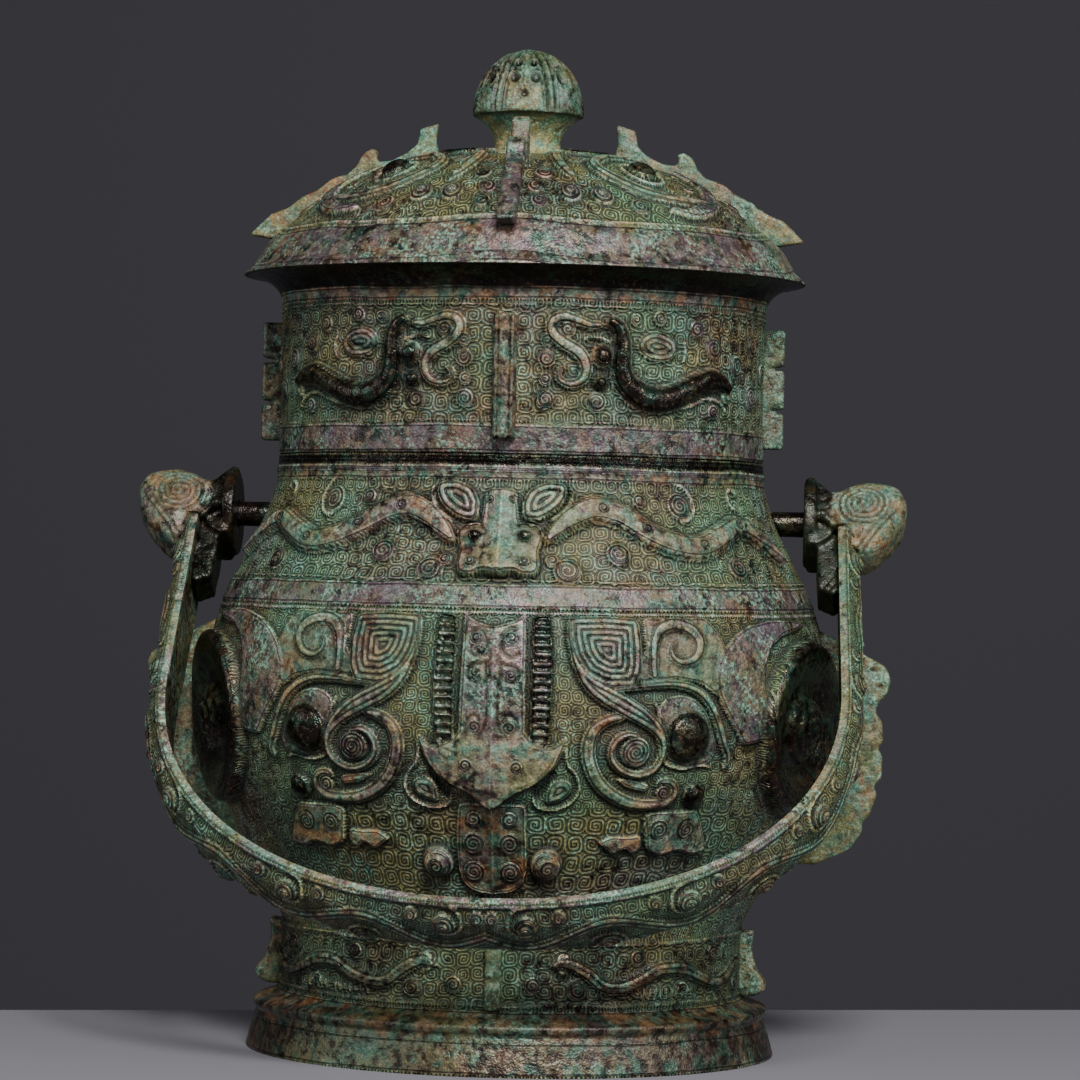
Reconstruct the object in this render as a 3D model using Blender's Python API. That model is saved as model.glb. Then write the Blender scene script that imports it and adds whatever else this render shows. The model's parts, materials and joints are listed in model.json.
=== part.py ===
"""Lidded oval wine vessel of cast bronze with beast masks, flanges and a swing handle.

Units are metres and degrees, +Z is up and the front faces -Y. An angle goes round the oval
from the front (0) towards +X (90), and a relief is drawn in angles and heights on the wall.
"""

import math

import bmesh
import bpy
from mathutils import Vector

# Body of the vessel
OVAL = 0.90
SEGMENTS = 28
WALL = 0.0036
FIT_CLEARANCE = 0.0009
REST_GAP = 0.0003

FOOT_RADIUS = 0.1000
FOOT_LIP_RADIUS = 0.0970
FOOT_LIP_HEIGHT = 0.0185
FOOT_LIP_THICKNESS = 0.0040
FOOT_WALL_RADIUS = 0.0872
FOOT_HEIGHT = 0.0490
BELLY_RADIUS = 0.1185
BELLY_SWELL_HEIGHT = 0.0820
SHOULDER_HEIGHT = 0.0920
NECK_RADIUS = 0.0916
SPIGOT_HEIGHT = 0.0300

# Lid
COLLAR_HEIGHT = 0.0575
RIM_OVERHANG = 0.0148
RIM_FLARE_HEIGHT = 0.0105
RIM_THICKNESS = 0.0040
RIM_LEDGE = 0.0089
DOME_FOOT_HEIGHT = 0.0120
DOME_RISE = 0.0350
DOME_POWER = 2.8
STEM_RADIUS = 0.0125
STEM_HEIGHT = 0.0160
CAP_RADIUS = 0.0215
CAP_HEIGHT = 0.0250
CAP_LOBES = 6
CAP_LOBE_DEPTH = 0.0012

# Flanges
FLANGE_THICKNESS = 0.0085
BELLY_FLANGE_REACH = 0.0235
COLLAR_FLANGE_REACH = 0.0078
FOOT_FLANGE_REACH = 0.0105
DOME_FLANGE_RISE = 0.0090

# Swing handle
PIVOT_BELOW_SEAM = 0.0224
PIN_RADIUS = 0.0048
PIN_CLEARANCE = 0.0004
PLATE_CLEARANCE = 0.0033
PLATE_RADIUS = 0.0160
PLATE_THICKNESS = 0.0046
SOCKET_DEPTH = 0.0110
HANDLE_REST_ANGLE = 38.0
STRAP_TOP_CLEARANCE = 0.0022
STRAP_SIDE_CLEARANCE = 0.0045
STRAP_SETBACK = 0.0083
STRAP_BEND_HEIGHT = 0.0915
STRAP_BEND_POWER = 2.2
STRAP_BREADTH = 0.0290
STRAP_EDGE = 0.0028
STRAP_CROWN = 0.0042
STRAP_RELIEF = 0.0020
HEAD_LENGTH = 0.0343
HEAD_HEIGHT = 0.0315
HEAD_BREADTH = 0.0270
ROOT_DROP = 0.0360

# Relief
RELIEF_SINK = 0.0020
HORN_RELIEF = 0.0042
COIL_RELIEF = 0.0075
EYE_RELIEF = 0.0080
SMALL_RELIEF = 0.0026
NOSE_RELIEF = 0.0075
HORN_HALF_WIDTH = 0.0041
CRESCENT_HALF_WIDTH = 0.0076
JAW_HALF_WIDTH = 0.0056
EAR_HALF_WIDTH = 0.0044
DRAGON_HALF_WIDTH = 0.0031
THIN_HALF_WIDTH = 0.0025
COIL_HALF_WIDTH = 0.0050
COIL_CORE_RADIUS = 0.0055
COIL_RADIUS = 0.0275
CURL_CORE_RADIUS = 0.0036
CURL_RADIUS = 0.0082
EYE_RADIUS = 0.0088
CHIN_STUD_RADIUS = 0.0064
STUD_RADIUS = 0.0042
DOME_EYE_RADIUS = 0.0052

# Shares of a boss's radius and of its relief, from its foot to its top
STUD_STEPS = ((1.0, 0.0), (0.62, 1.0))
EYE_STEPS = ((1.0, 0.0), (0.94, 0.5), (0.5, 1.0))

# A band's width and relief at its two ends, as shares of the rest
BAND_TAPER = 0.6
BAND_FLAT = 0.55

# The four quarters of the oval, as (side, whether it is at the back)
QUARTERS = ((1, False), (-1, False), (1, True), (-1, True))

# Facets flatter than this angle, and edges shorter than this length, are dissolved
SETTLE_ANGLE = 1.0
SETTLE_DISTANCE = 0.000005

# Radii and levels that follow from the sizes above
OVAL_RADIUS = FOOT_WALL_RADIUS - 2 * WALL
RIM_RADIUS = NECK_RADIUS + RIM_OVERHANG
DOME_RADIUS = RIM_RADIUS - RIM_LEDGE
BELLY_LEVEL = FOOT_HEIGHT + BELLY_SWELL_HEIGHT
SEAM_LEVEL = BELLY_LEVEL + SHOULDER_HEIGHT
PIVOT_LEVEL = SEAM_LEVEL - PIVOT_BELOW_SEAM
COLLAR_TOP = SEAM_LEVEL + COLLAR_HEIGHT
RIM_LEVEL = COLLAR_TOP + RIM_FLARE_HEIGHT
DOME_LEVEL = RIM_LEVEL + DOME_FOOT_HEIGHT
DOME_TOP = DOME_LEVEL + DOME_RISE
CAP_LEVEL = DOME_TOP + STEM_HEIGHT
KNOB_TOP = CAP_LEVEL + CAP_HEIGHT
STRAP_LENGTH = KNOB_TOP - PIVOT_LEVEL + STRAP_TOP_CLEARANCE
STRAP_HALF_WIDTH = BELLY_RADIUS + STRAP_SIDE_CLEARANCE
BELLY_BAND_TOP = FOOT_HEIGHT + 0.675 * (SEAM_LEVEL - FOOT_HEIGHT)

# The vessel stands with the middle of its whole box on the origin
HANDLE_REACH = (
    (STRAP_LENGTH + STRAP_EDGE) * math.sin(math.radians(HANDLE_REST_ANGLE))
    + STRAP_BREADTH / 2 * math.cos(math.radians(HANDLE_REST_ANGLE))
)
BACK_REACH = BELLY_RADIUS * OVAL + NOSE_RELIEF
AXIS_Y = (HANDLE_REACH - BACK_REACH) / 2


def clear_scene():
    """Remove every object, so that the model starts from nothing."""
    for item in list(bpy.data.objects):
        bpy.data.objects.remove(item, do_unlink=True)


def bronze(name, colour, roughness):
    """Return a bronze material of one patina colour."""
    made = bpy.data.materials.new(name)
    made.use_nodes = True
    shader = made.node_tree.nodes["Principled BSDF"]
    shader.inputs["Base Color"].default_value = (*colour, 1.0)
    shader.inputs["Roughness"].default_value = roughness
    shader.inputs["Metallic"].default_value = 0.55
    return made


def body_radius(height):
    """Half the width of the vessel's outer wall at a height."""
    if height <= FOOT_LIP_HEIGHT:
        return FOOT_RADIUS + (FOOT_LIP_RADIUS - FOOT_RADIUS) * height / FOOT_LIP_HEIGHT
    if height <= FOOT_HEIGHT:
        return FOOT_WALL_RADIUS
    if height <= BELLY_LEVEL:
        rise = (height - FOOT_HEIGHT) / BELLY_SWELL_HEIGHT
        swell = math.sin(math.pi / 2 * rise ** 1.05)
        return FOOT_WALL_RADIUS + (BELLY_RADIUS - FOOT_WALL_RADIUS) * swell
    rise = min(1.0, (height - BELLY_LEVEL) / SHOULDER_HEIGHT)
    draw = (1 - math.cos(math.pi * rise ** 1.22)) / 2
    return BELLY_RADIUS + (NECK_RADIUS - BELLY_RADIUS) * draw


# The plates clear the wall at their lower edge, and the strap stands off from the plates
PLATE_FACE = body_radius(PIVOT_LEVEL - PLATE_RADIUS) + PLATE_CLEARANCE
PLATE_BACK = PLATE_FACE + PLATE_THICKNESS
STRAP_TOP_HALF_WIDTH = PLATE_BACK + STRAP_SETBACK


def depth_of(radius):
    """Half the depth that goes with half a width: oval on the body, round at the knob."""
    share = min(1.0, max(0.0, (radius - CAP_RADIUS) / (OVAL_RADIUS - CAP_RADIUS)))
    return radius * (1 - (1 - OVAL) * share)


def oval_point(angle, radius, height):
    """A point of the oval of a given half width, at an angle and a height."""
    turn = math.radians(angle)
    return Vector((radius * math.sin(turn), -depth_of(radius) * math.cos(turn), height))


def dome_height(radius):
    """Height of the lid's outer dome at a half width."""
    return DOME_TOP - DOME_RISE * (radius / DOME_RADIUS) ** DOME_POWER


def lifted(place, angle, along, lift):
    """A point of a surface, moved out along the surface's own normal."""
    step = 0.2
    reach = 0.0004
    round_way = place(angle + step, along) - place(angle - step, along)
    up_way = place(angle, along + reach) - place(angle, along - reach)
    normal = round_way.cross(up_way).normalized()
    return place(angle, along) + normal * lift


def wall_place(angle, height):
    """The vessel's outer wall."""
    return oval_point(angle, body_radius(height), height)


def collar_place(angle, height):
    """The lid's straight collar."""
    return oval_point(angle, NECK_RADIUS, height)


def dome_place(angle, inward):
    """The lid's dome, by the distance in from its edge."""
    radius = DOME_RADIUS - inward
    return oval_point(angle, radius, dome_height(radius))


def closed_object(name, verts, faces):
    """Make an object of a closed mesh whose faces point out."""
    mesh = bpy.data.meshes.new(name)
    mesh.from_pydata([tuple(point) for point in verts], [], faces)
    work = bmesh.new()
    work.from_mesh(mesh)
    bmesh.ops.recalc_face_normals(work, faces=work.faces)
    if work.calc_volume(signed=True) < 0:
        bmesh.ops.reverse_faces(work, faces=work.faces)
    work.to_mesh(mesh)
    work.free()
    made = bpy.data.objects.new(name, mesh)
    bpy.context.collection.objects.link(made)
    return made


def lofted(name, rings):
    """Close a tube of rings that have the same number of points, with a face at each end."""
    count = len(rings[0])
    verts = [point for ring in rings for point in ring]
    faces = []
    for row in range(len(rings) - 1):
        for side in range(count):
            nearer = row * count + side
            farther = row * count + (side + 1) % count
            faces.append((nearer, farther, farther + count, nearer + count))
    faces.append(tuple(range(count))[::-1])
    last = (len(rings) - 1) * count
    faces.append(tuple(range(last, last + count)))
    return closed_object(name, verts, faces)


def turned(name, profile, segments, shape=None):
    """Turn a profile that starts and ends on the axis into an oval solid.

    shape(angle, height) may give a share by which a point's radius changes.
    """
    verts = [Vector((0, 0, profile[0][1]))]
    for radius, height in profile[1:-1]:
        for side in range(segments):
            angle = 360 * side / segments
            grown = radius * (shape(angle, height) if shape else 1.0)
            verts.append(oval_point(angle, grown, height))
    verts.append(Vector((0, 0, profile[-1][1])))
    last = len(verts) - 1
    faces = []
    for side in range(segments):
        beside = (side + 1) % segments
        faces.append((0, 1 + side, 1 + beside))
        faces.append((last, last - segments + beside, last - segments + side))
        for row in range(len(profile) - 3):
            low = 1 + row * segments
            faces.append((low + side, low + segments + side, low + segments + beside, low + beside))
    return closed_object(name, verts, faces)


def ribbon(name, place, path, half_width, relief, flat=BAND_FLAT):
    """A raised band along a path of (angle, along) that tapers a little at its two ends.

    flat is the share of its width that is flat on top; 0 makes a ridge.
    """
    spots = [place(angle, along) for angle, along in path]
    rings = []
    for index, (angle, along) in enumerate(path):
        before = spots[max(0, index - 1)]
        after = spots[min(len(path) - 1, index + 1)]
        normal = (lifted(place, angle, along, 1.0) - spots[index]).normalized()
        side = (after - before).cross(normal).normalized()
        end = BAND_TAPER if index in (0, len(path) - 1) else 1.0
        width = half_width * end
        top = relief * end
        spot = spots[index]
        crest = [spot + normal * top]
        if flat:
            crest = [spot - side * width * flat + normal * top, spot + side * width * flat + normal * top]
        low = normal * RELIEF_SINK
        rings.append([spot - side * width - low] + crest + [spot + side * width - low])
    return lofted(name, rings)


def boss(name, place, angle, along, radius, relief, sides=6, steps=STUD_STEPS):
    """A round boss; steps are shares of its radius and of its relief, from its foot to its top."""
    spot = place(angle, along)
    normal = (lifted(place, angle, along, 1.0) - spot).normalized()
    across = normal.cross(Vector((0, 0, 1)))
    across = (across if across.length > 0.1 else Vector((1, 0, 0))).normalized()
    up = across.cross(normal)
    rings = []
    for share, rise in steps:
        lift = -RELIEF_SINK + (relief + RELIEF_SINK) * rise
        ring = []
        for side in range(sides):
            turn = 2 * math.pi * side / sides
            flat = across * math.cos(turn) + up * math.sin(turn)
            ring.append(spot + flat * radius * share + normal * lift)
        rings.append(ring)
    return lofted(name, rings)


def plate(name, place, outline, relief):
    """A raised patch with straight sides, outlined by (angle, along)."""
    low = [lifted(place, angle, along, -RELIEF_SINK) for angle, along in outline]
    high = [lifted(place, angle, along, relief) for angle, along in outline]
    return lofted(name, [low, high])


def fin(name, outline, angle, thickness):
    """An upright flange: an outline of (radius, height) extruded across an angle."""
    turn = math.radians(angle)
    out = Vector((math.sin(turn), -math.cos(turn), 0))
    across = Vector((math.cos(turn), math.sin(turn), 0)) * thickness / 2
    points = [out * radius + Vector((0, 0, height)) for radius, height in outline]
    return lofted(name, [[p - across for p in points], [p + across for p in points]])


def arc_step(angle, radius):
    """Metres of arc in one degree round the oval."""
    turn = math.radians(angle)
    across = radius * math.cos(turn)
    along = depth_of(radius) * math.sin(turn)
    return math.hypot(across, along) * math.pi / 180


def curl(angle, height, radius_at, inner, outer, start, sweep, points):
    """A spiral path round a centre, from its inner to its outer radius."""
    path = []
    for index in range(points):
        share = index / (points - 1)
        turn = math.radians(start + sweep * share)
        reach = inner + (outer - inner) * share
        degree = arc_step(angle, radius_at)
        path.append((angle + reach * math.cos(turn) / degree, height + reach * math.sin(turn)))
    return path


def mirrored(path, turn):
    """A path drawn on the front right, taken to one of the four quarters of the oval."""
    side, back = turn
    return [((180 - angle if back else angle) * side, along) for angle, along in path]


def fuse(name, base, pieces, finish):
    """Join a base and the pieces on it into one solid, and give it its finish."""
    parts = bpy.data.collections.new(name + "_pieces")
    for piece in pieces:
        parts.objects.link(piece)
    union = base.modifiers.new("union", "BOOLEAN")
    union.operation = "UNION"
    union.solver = "EXACT"
    union.use_self = True
    union.operand_type = "COLLECTION"
    union.collection = parts
    settle(base)
    for piece in pieces:
        bpy.data.objects.remove(piece, do_unlink=True)
    bpy.data.collections.remove(parts)
    base.name = name
    base.data.name = name
    base.data.materials.clear()
    base.data.materials.append(finish)
    return base


def settle(item):
    """Replace an object's mesh by what its modifiers make of it, without slivers."""
    bpy.context.view_layer.update()
    graph = bpy.context.evaluated_depsgraph_get()
    mesh = bpy.data.meshes.new_from_object(item.evaluated_get(graph))
    item.modifiers.clear()
    item.data = mesh
    work = bmesh.new()
    work.from_mesh(mesh)
    bmesh.ops.dissolve_limit(
        work, angle_limit=math.radians(SETTLE_ANGLE), verts=work.verts, edges=work.edges,
    )
    bmesh.ops.triangulate(work, faces=work.faces)
    bmesh.ops.dissolve_degenerate(work, edges=work.edges, dist=SETTLE_DISTANCE)
    work.to_mesh(mesh)
    work.free()


def cut(base, cutter):
    """Cut a solid out of another."""
    hole = base.modifiers.new("cut", "BOOLEAN")
    hole.operation = "DIFFERENCE"
    hole.solver = "EXACT"
    hole.object = cutter
    settle(base)
    bpy.data.objects.remove(cutter, do_unlink=True)


def belly_level(share):
    """A height on the belly's mask, by its share of the way from the foot to the plain band."""
    return FOOT_HEIGHT + (BELLY_BAND_TOP - FOOT_HEIGHT) * share


def neck_level(share):
    """A height on the neck's band, by its share of the way up to the seam."""
    return BELLY_BAND_TOP + (SEAM_LEVEL - BELLY_BAND_TOP) * share


def collar_level(share):
    """A height on the lid's collar, by its share of the collar's height."""
    return SEAM_LEVEL + COLLAR_HEIGHT * share


def foot_level(share):
    """A height on the foot's upright wall, by its share of the way up to the belly."""
    return FOOT_LIP_HEIGHT + (FOOT_HEIGHT - FOOT_LIP_HEIGHT) * share


def belly_radius_at(share):
    """Half the width of the belly at a share of its height."""
    return body_radius(belly_level(share))


def drawn(level, points):
    """A path whose second numbers are shares of a zone's height."""
    return [(angle, level(share)) for angle, share in points]


def vessel_shell():
    """The hollow body with its floor, its open foot and the spigot inside the lid."""
    spigot = NECK_RADIUS - WALL - FIT_CLEARANCE
    fillet = (FOOT_HEIGHT - FOOT_LIP_HEIGHT) * 0.22
    outer = [
        (FOOT_RADIUS, 0.0),
        (FOOT_LIP_RADIUS - FOOT_LIP_THICKNESS * 0.4, FOOT_LIP_HEIGHT - FOOT_LIP_THICKNESS),
        (FOOT_LIP_RADIUS, FOOT_LIP_HEIGHT),
        (FOOT_WALL_RADIUS + FOOT_LIP_THICKNESS * 0.6, FOOT_LIP_HEIGHT + fillet * 0.3),
        (FOOT_WALL_RADIUS, FOOT_LIP_HEIGHT + fillet),
        (FOOT_WALL_RADIUS, FOOT_HEIGHT),
    ]
    belly_rows = 5
    for row in range(1, belly_rows + 1):
        height = FOOT_HEIGHT + BELLY_SWELL_HEIGHT * row / belly_rows
        outer.append((body_radius(height), height))
    shoulder_rows = 5
    for row in range(1, shoulder_rows + 1):
        height = BELLY_LEVEL + SHOULDER_HEIGHT * row / shoulder_rows
        outer.append((body_radius(height), height))
    outer.append((spigot, SEAM_LEVEL))
    outer.append((spigot, SEAM_LEVEL + SPIGOT_HEIGHT))
    inner = [(spigot - WALL, SEAM_LEVEL + SPIGOT_HEIGHT), (spigot - WALL, SEAM_LEVEL)]
    floor = FOOT_HEIGHT + WALL / 2
    inner_rows = 3
    for row in range(1, inner_rows + 1):
        height = SEAM_LEVEL + (floor + WALL - SEAM_LEVEL) * row / inner_rows
        inner.append((body_radius(height) - WALL, height))
    inner.append((FOOT_WALL_RADIUS * 0.85, floor))
    hollow_roof = FOOT_HEIGHT - WALL / 2
    hollow = [
        (FOOT_RADIUS - WALL, 0.0),
        (FOOT_WALL_RADIUS - WALL, FOOT_LIP_HEIGHT),
        (FOOT_WALL_RADIUS - WALL, hollow_roof),
    ]
    profile = [(0.0, floor)] + inner[::-1] + outer[::-1] + hollow + [(0.0, hollow_roof)]
    return turned("vessel", profile, SEGMENTS)


def belly_mask(turn):
    """Half of the great mask: horn, cheek, brow, eye and the side's coil; plainer at the back."""
    back = turn[1]

    def band(label, path, half_width, relief):
        return ribbon(label, wall_place, mirrored(path, turn), half_width, relief)

    def round_boss(label, angle, share, radius, relief, *sides_and_steps):
        (spot,) = mirrored([(angle, belly_level(share))], turn)
        return boss(label, wall_place, spot[0], spot[1], radius, relief, *sides_and_steps)

    horn = drawn(belly_level, (
        (21.5, 0.905), (18.5, 0.955), (15.2, 0.940), (14.0, 0.850), (15.6, 0.765), (20.0, 0.710),
        (25.5, 0.675), (29.2, 0.610), (28.4, 0.540), (25.0, 0.518), (22.4, 0.560), (24.4, 0.606),
    ))
    cheek = drawn(belly_level, (
        (20.6, 0.650), (17.6, 0.600), (18.0, 0.505), (21.6, 0.440), (27.0, 0.420), (32.4, 0.450),
        (32.0, 0.495),
    ))
    brow = drawn(belly_level, (
        (29.5, 0.755), (34.0, 0.760), (38.0, 0.735), (41.0, 0.680), (43.0, 0.610), (44.6, 0.530),
    ))
    ear = curl(
        32.4, belly_level(0.868), belly_radius_at(0.868), CURL_CORE_RADIUS, CURL_RADIUS, 20, 300, 6,
    )
    crescent = drawn(belly_level, (
        (49.0, 0.610), (47.0, 0.700), (47.2, 0.800), (49.6, 0.885), (54.0, 0.935), (61.0, 0.950),
    ))
    jaw = drawn(belly_level, ((23.5, 0.300), (29.0, 0.330), (35.0, 0.345), (40.5, 0.345), (45.0, 0.320)))
    coil = curl(
        69.5, belly_level(0.645), belly_radius_at(0.645), COIL_CORE_RADIUS, COIL_RADIUS, 20, 500, 13,
    )
    pieces = [
        band("horn", horn, HORN_HALF_WIDTH, HORN_RELIEF),
        band("brow", brow, HORN_HALF_WIDTH, HORN_RELIEF),
        band("crescent", crescent, CRESCENT_HALF_WIDTH, SMALL_RELIEF),
        band("coil", coil, COIL_HALF_WIDTH, COIL_RELIEF),
        round_boss("eye", 35.2, 0.622, EYE_RADIUS, EYE_RELIEF, 8, EYE_STEPS),
    ]
    if not back:
        pieces += [
            band("cheek", cheek, HORN_HALF_WIDTH, HORN_RELIEF),
            band("ear", ear, THIN_HALF_WIDTH, SMALL_RELIEF),
            band("jaw", jaw, JAW_HALF_WIDTH, SMALL_RELIEF),
            round_boss("jaw_stud", 38.3, 0.445, STUD_RADIUS, HORN_RELIEF),
            round_boss("chin_stud", 10.7, 0.240, CHIN_STUD_RADIUS, HORN_RELIEF),
        ]
    return pieces


def belly_nose(back):
    """The mask's long nose, its nostrils and the strip below, on one face."""
    turn = (1, back)

    def patch(label, points, relief):
        outline = mirrored(drawn(belly_level, points), turn)
        return plate(label, wall_place, outline, relief)

    forehead = ((-5.6, 0.955), (0.0, 0.925), (5.6, 0.955), (5.6, 0.640), (0.0, 0.640), (-5.6, 0.640))
    muzzle = (
        (-5.6, 0.655), (0.0, 0.655), (5.6, 0.655), (9.5, 0.560), (13.6, 0.590), (13.0, 0.520),
        (9.6, 0.475), (5.2, 0.455), (0.0, 0.410), (-5.2, 0.455), (-9.6, 0.475), (-13.0, 0.520),
        (-13.6, 0.590), (-9.5, 0.560),
    )
    chin = ((-6.0, 0.440), (0.0, 0.440), (6.0, 0.440), (6.8, 0.200), (0.0, 0.150), (-6.8, 0.200))
    pieces = [
        patch("forehead", forehead, HORN_RELIEF),
        patch("muzzle", muzzle, NOSE_RELIEF),
        patch("chin", chin, SMALL_RELIEF),
    ]
    for side in () if back else (-1, 1):
        strip = ((side * 7.0, 0.930), (side * 10.4, 0.930), (side * 10.0, 0.570), (side * 7.0, 0.570))
        pieces.append(patch("strip", strip, SMALL_RELIEF))
    return pieces


def neck_relief():
    """The small masks in the middle of each face, with a dragon on either side."""
    pieces = []
    dragon = drawn(neck_level, (
        (11.5, 0.400), (15.5, 0.590), (20.0, 0.690), (25.3, 0.660), (32.0, 0.510), (40.0, 0.420),
        (50.0, 0.500), (60.0, 0.580),
    ))
    ear = drawn(neck_level, ((5.0, 0.560), (8.5, 0.640), (12.5, 0.720), (14.0, 0.830)))
    for turn in QUARTERS:
        pieces.append(ribbon("dragon", wall_place, mirrored(dragon, turn), DRAGON_HALF_WIDTH, HORN_RELIEF))
        if turn[1]:
            continue
        ear_path = mirrored(ear, turn)
        pieces.append(ribbon("mask_ear", wall_place, ear_path, EAR_HALF_WIDTH, SMALL_RELIEF, 0))
    for back in (False, True):
        face = drawn(neck_level, (
            (-8.4, 0.560), (0.0, 0.600), (8.4, 0.560), (7.0, 0.180), (0.0, 0.130), (-7.0, 0.180),
        ))
        bridge = drawn(neck_level, (
            (-3.2, 0.860), (3.2, 0.860), (3.6, 0.400), (6.4, 0.300), (5.6, 0.110), (0.0, 0.070),
            (-5.6, 0.110), (-6.4, 0.300), (-3.6, 0.400),
        ))
        pieces.append(plate("mask_face", wall_place, mirrored(face, (1, back)), HORN_RELIEF))
        pieces.append(plate("mask_bridge", wall_place, mirrored(bridge, (1, back)), NOSE_RELIEF))
    return pieces


def foot_relief():
    """Dragons round the foot's wall, two on each half face."""
    pieces = []
    path = drawn(foot_level, (
        (14.0, 0.620), (20.0, 0.640), (30.0, 0.400), (40.0, 0.560), (48.0, 0.680), (56.0, 0.560),
        (66.0, 0.400), (78.0, 0.600),
    ))
    for turn in QUARTERS:
        dragon = mirrored(path, turn)
        pieces.append(ribbon("foot_dragon", wall_place, dragon, DRAGON_HALF_WIDTH, SMALL_RELIEF, 0))
    return pieces


def vessel_flanges():
    """The hooked flanges at the sides, and the small ones on the foot."""
    pieces = []
    reach = BELLY_RADIUS + BELLY_FLANGE_REACH
    for angle in (90, -90):
        hook = [
            (belly_radius_at(0.96) - WALL / 2, belly_level(0.960)),
            (belly_radius_at(0.90) + BELLY_FLANGE_REACH * 0.45, belly_level(0.900)),
            (reach - BELLY_FLANGE_REACH * 0.24, belly_level(0.850)),
            (reach, belly_level(0.780)),
            (reach - BELLY_FLANGE_REACH * 0.24, belly_level(0.690)),
            (reach - BELLY_FLANGE_REACH * 0.12, belly_level(0.600)),
            (reach - BELLY_FLANGE_REACH * 0.14, belly_level(0.480)),
            (reach - BELLY_FLANGE_REACH * 0.30, belly_level(0.360)),
            (reach - BELLY_FLANGE_REACH * 0.60, belly_level(0.260)),
            (belly_radius_at(0.20) + BELLY_FLANGE_REACH * 0.70, belly_level(0.200)),
            (belly_radius_at(0.20) - WALL / 2, belly_level(0.200)),
            (belly_radius_at(0.40) - WALL / 2, belly_level(0.400)),
            (belly_radius_at(0.60) - WALL / 2, belly_level(0.600)),
            (belly_radius_at(0.80) - WALL / 2, belly_level(0.800)),
        ]
        pieces.append(fin("belly_flange", hook, angle, FLANGE_THICKNESS))
        spike = [
            (FOOT_WALL_RADIUS - WALL / 2, foot_level(0.950)),
            (FOOT_WALL_RADIUS + FOOT_FLANGE_REACH * 0.35, foot_level(0.950)),
            (FOOT_WALL_RADIUS + FOOT_FLANGE_REACH * 0.45, foot_level(0.650)),
            (FOOT_WALL_RADIUS + FOOT_FLANGE_REACH, foot_level(0.400)),
            (FOOT_WALL_RADIUS + FOOT_FLANGE_REACH * 0.60, foot_level(0.260)),
            (FOOT_WALL_RADIUS - WALL / 2, foot_level(0.260)),
        ]
        pieces.append(fin("foot_flange", spike, angle, FLANGE_THICKNESS))
    for angle in (0, 180):
        face = FOOT_WALL_RADIUS * OVAL
        low = [
            (face - WALL / 2, foot_level(0.950)),
            (face + FOOT_FLANGE_REACH * 0.30, foot_level(0.950)),
            (face + FOOT_FLANGE_REACH * 0.30, foot_level(0.250)),
            (face - WALL / 2, foot_level(0.250)),
        ]
        pieces.append(fin("foot_flange", low, angle, FLANGE_THICKNESS))
    return pieces


def round_bar(name, radius, start, end, height, sides):
    """A round bar along X between two places, at a height."""
    rings = []
    for across in (start, end):
        ring = []
        for side in range(sides):
            turn = 2 * math.pi * side / sides
            ring.append(Vector((across, radius * math.cos(turn), height + radius * math.sin(turn))))
        rings.append(ring)
    return lofted(name, rings)


def vessel(finish):
    """The body casting: shell, relief, flanges and the two pins that carry the handle."""
    pieces = []
    for turn in QUARTERS:
        pieces += belly_mask(turn)
    for back in (False, True):
        pieces += belly_nose(back)
    pieces += neck_relief()
    pieces += foot_relief()
    pieces += vessel_flanges()
    root = body_radius(PIVOT_LEVEL) - WALL / 2
    tip = PLATE_FACE + SOCKET_DEPTH - PIN_CLEARANCE
    for side in (-1, 1):
        pieces.append(round_bar("pin", PIN_RADIUS, side * root, side * tip, PIVOT_LEVEL, 12))
    return fuse("vessel", vessel_shell(), pieces, finish)


def knob_shape(angle, height):
    """Lobes round the knob's cap, none on the stem or the dome."""
    if height < CAP_LEVEL:
        return 1.0
    wave = abs(math.sin(math.radians(angle) * CAP_LOBES / 2))
    return 1.0 - CAP_LOBE_DEPTH / CAP_RADIUS * (1 - wave) * 2


def lid_shell():
    """The hollow lid: collar, flaring rim, dome, stem and lobed cap."""
    bottom = SEAM_LEVEL + REST_GAP
    outer = [(NECK_RADIUS, bottom), (NECK_RADIUS, COLLAR_TOP)]
    flare_rows = 2
    for row in range(1, flare_rows + 1):
        share = row / flare_rows
        radius = NECK_RADIUS + (RIM_RADIUS - NECK_RADIUS) * (1 - math.cos(math.pi / 2 * share))
        outer.append((radius, COLLAR_TOP + RIM_FLARE_HEIGHT * math.sin(math.pi / 2 * share)))
    outer.append((RIM_RADIUS - RIM_THICKNESS, RIM_LEVEL + RIM_THICKNESS))
    for share in (1.0, 0.80, 0.60, 0.35):
        outer.append((DOME_RADIUS * share, dome_height(DOME_RADIUS * share)))
    outer.append((STEM_RADIUS + WALL, dome_height(STEM_RADIUS + WALL)))
    outer.append((STEM_RADIUS, DOME_TOP + STEM_HEIGHT * 0.25))
    outer.append((CAP_RADIUS * 0.80, CAP_LEVEL - STEM_HEIGHT * 0.10))
    for turn in (0, 30, 55, 76):
        rise = math.radians(turn)
        outer.append((CAP_RADIUS * math.cos(rise), CAP_LEVEL + CAP_HEIGHT * math.sin(rise)))
    inner = [(NECK_RADIUS - WALL, bottom), (NECK_RADIUS - WALL, COLLAR_TOP + WALL)]
    for share in (0.90, 0.60):
        inner.append((DOME_RADIUS * share, dome_height(DOME_RADIUS * share) - WALL * 1.1))
    profile = [(0.0, DOME_TOP - WALL)] + inner[::-1] + outer + [(0.0, KNOB_TOP)]
    return turned("lid", profile, SEGMENTS, knob_shape)


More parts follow.
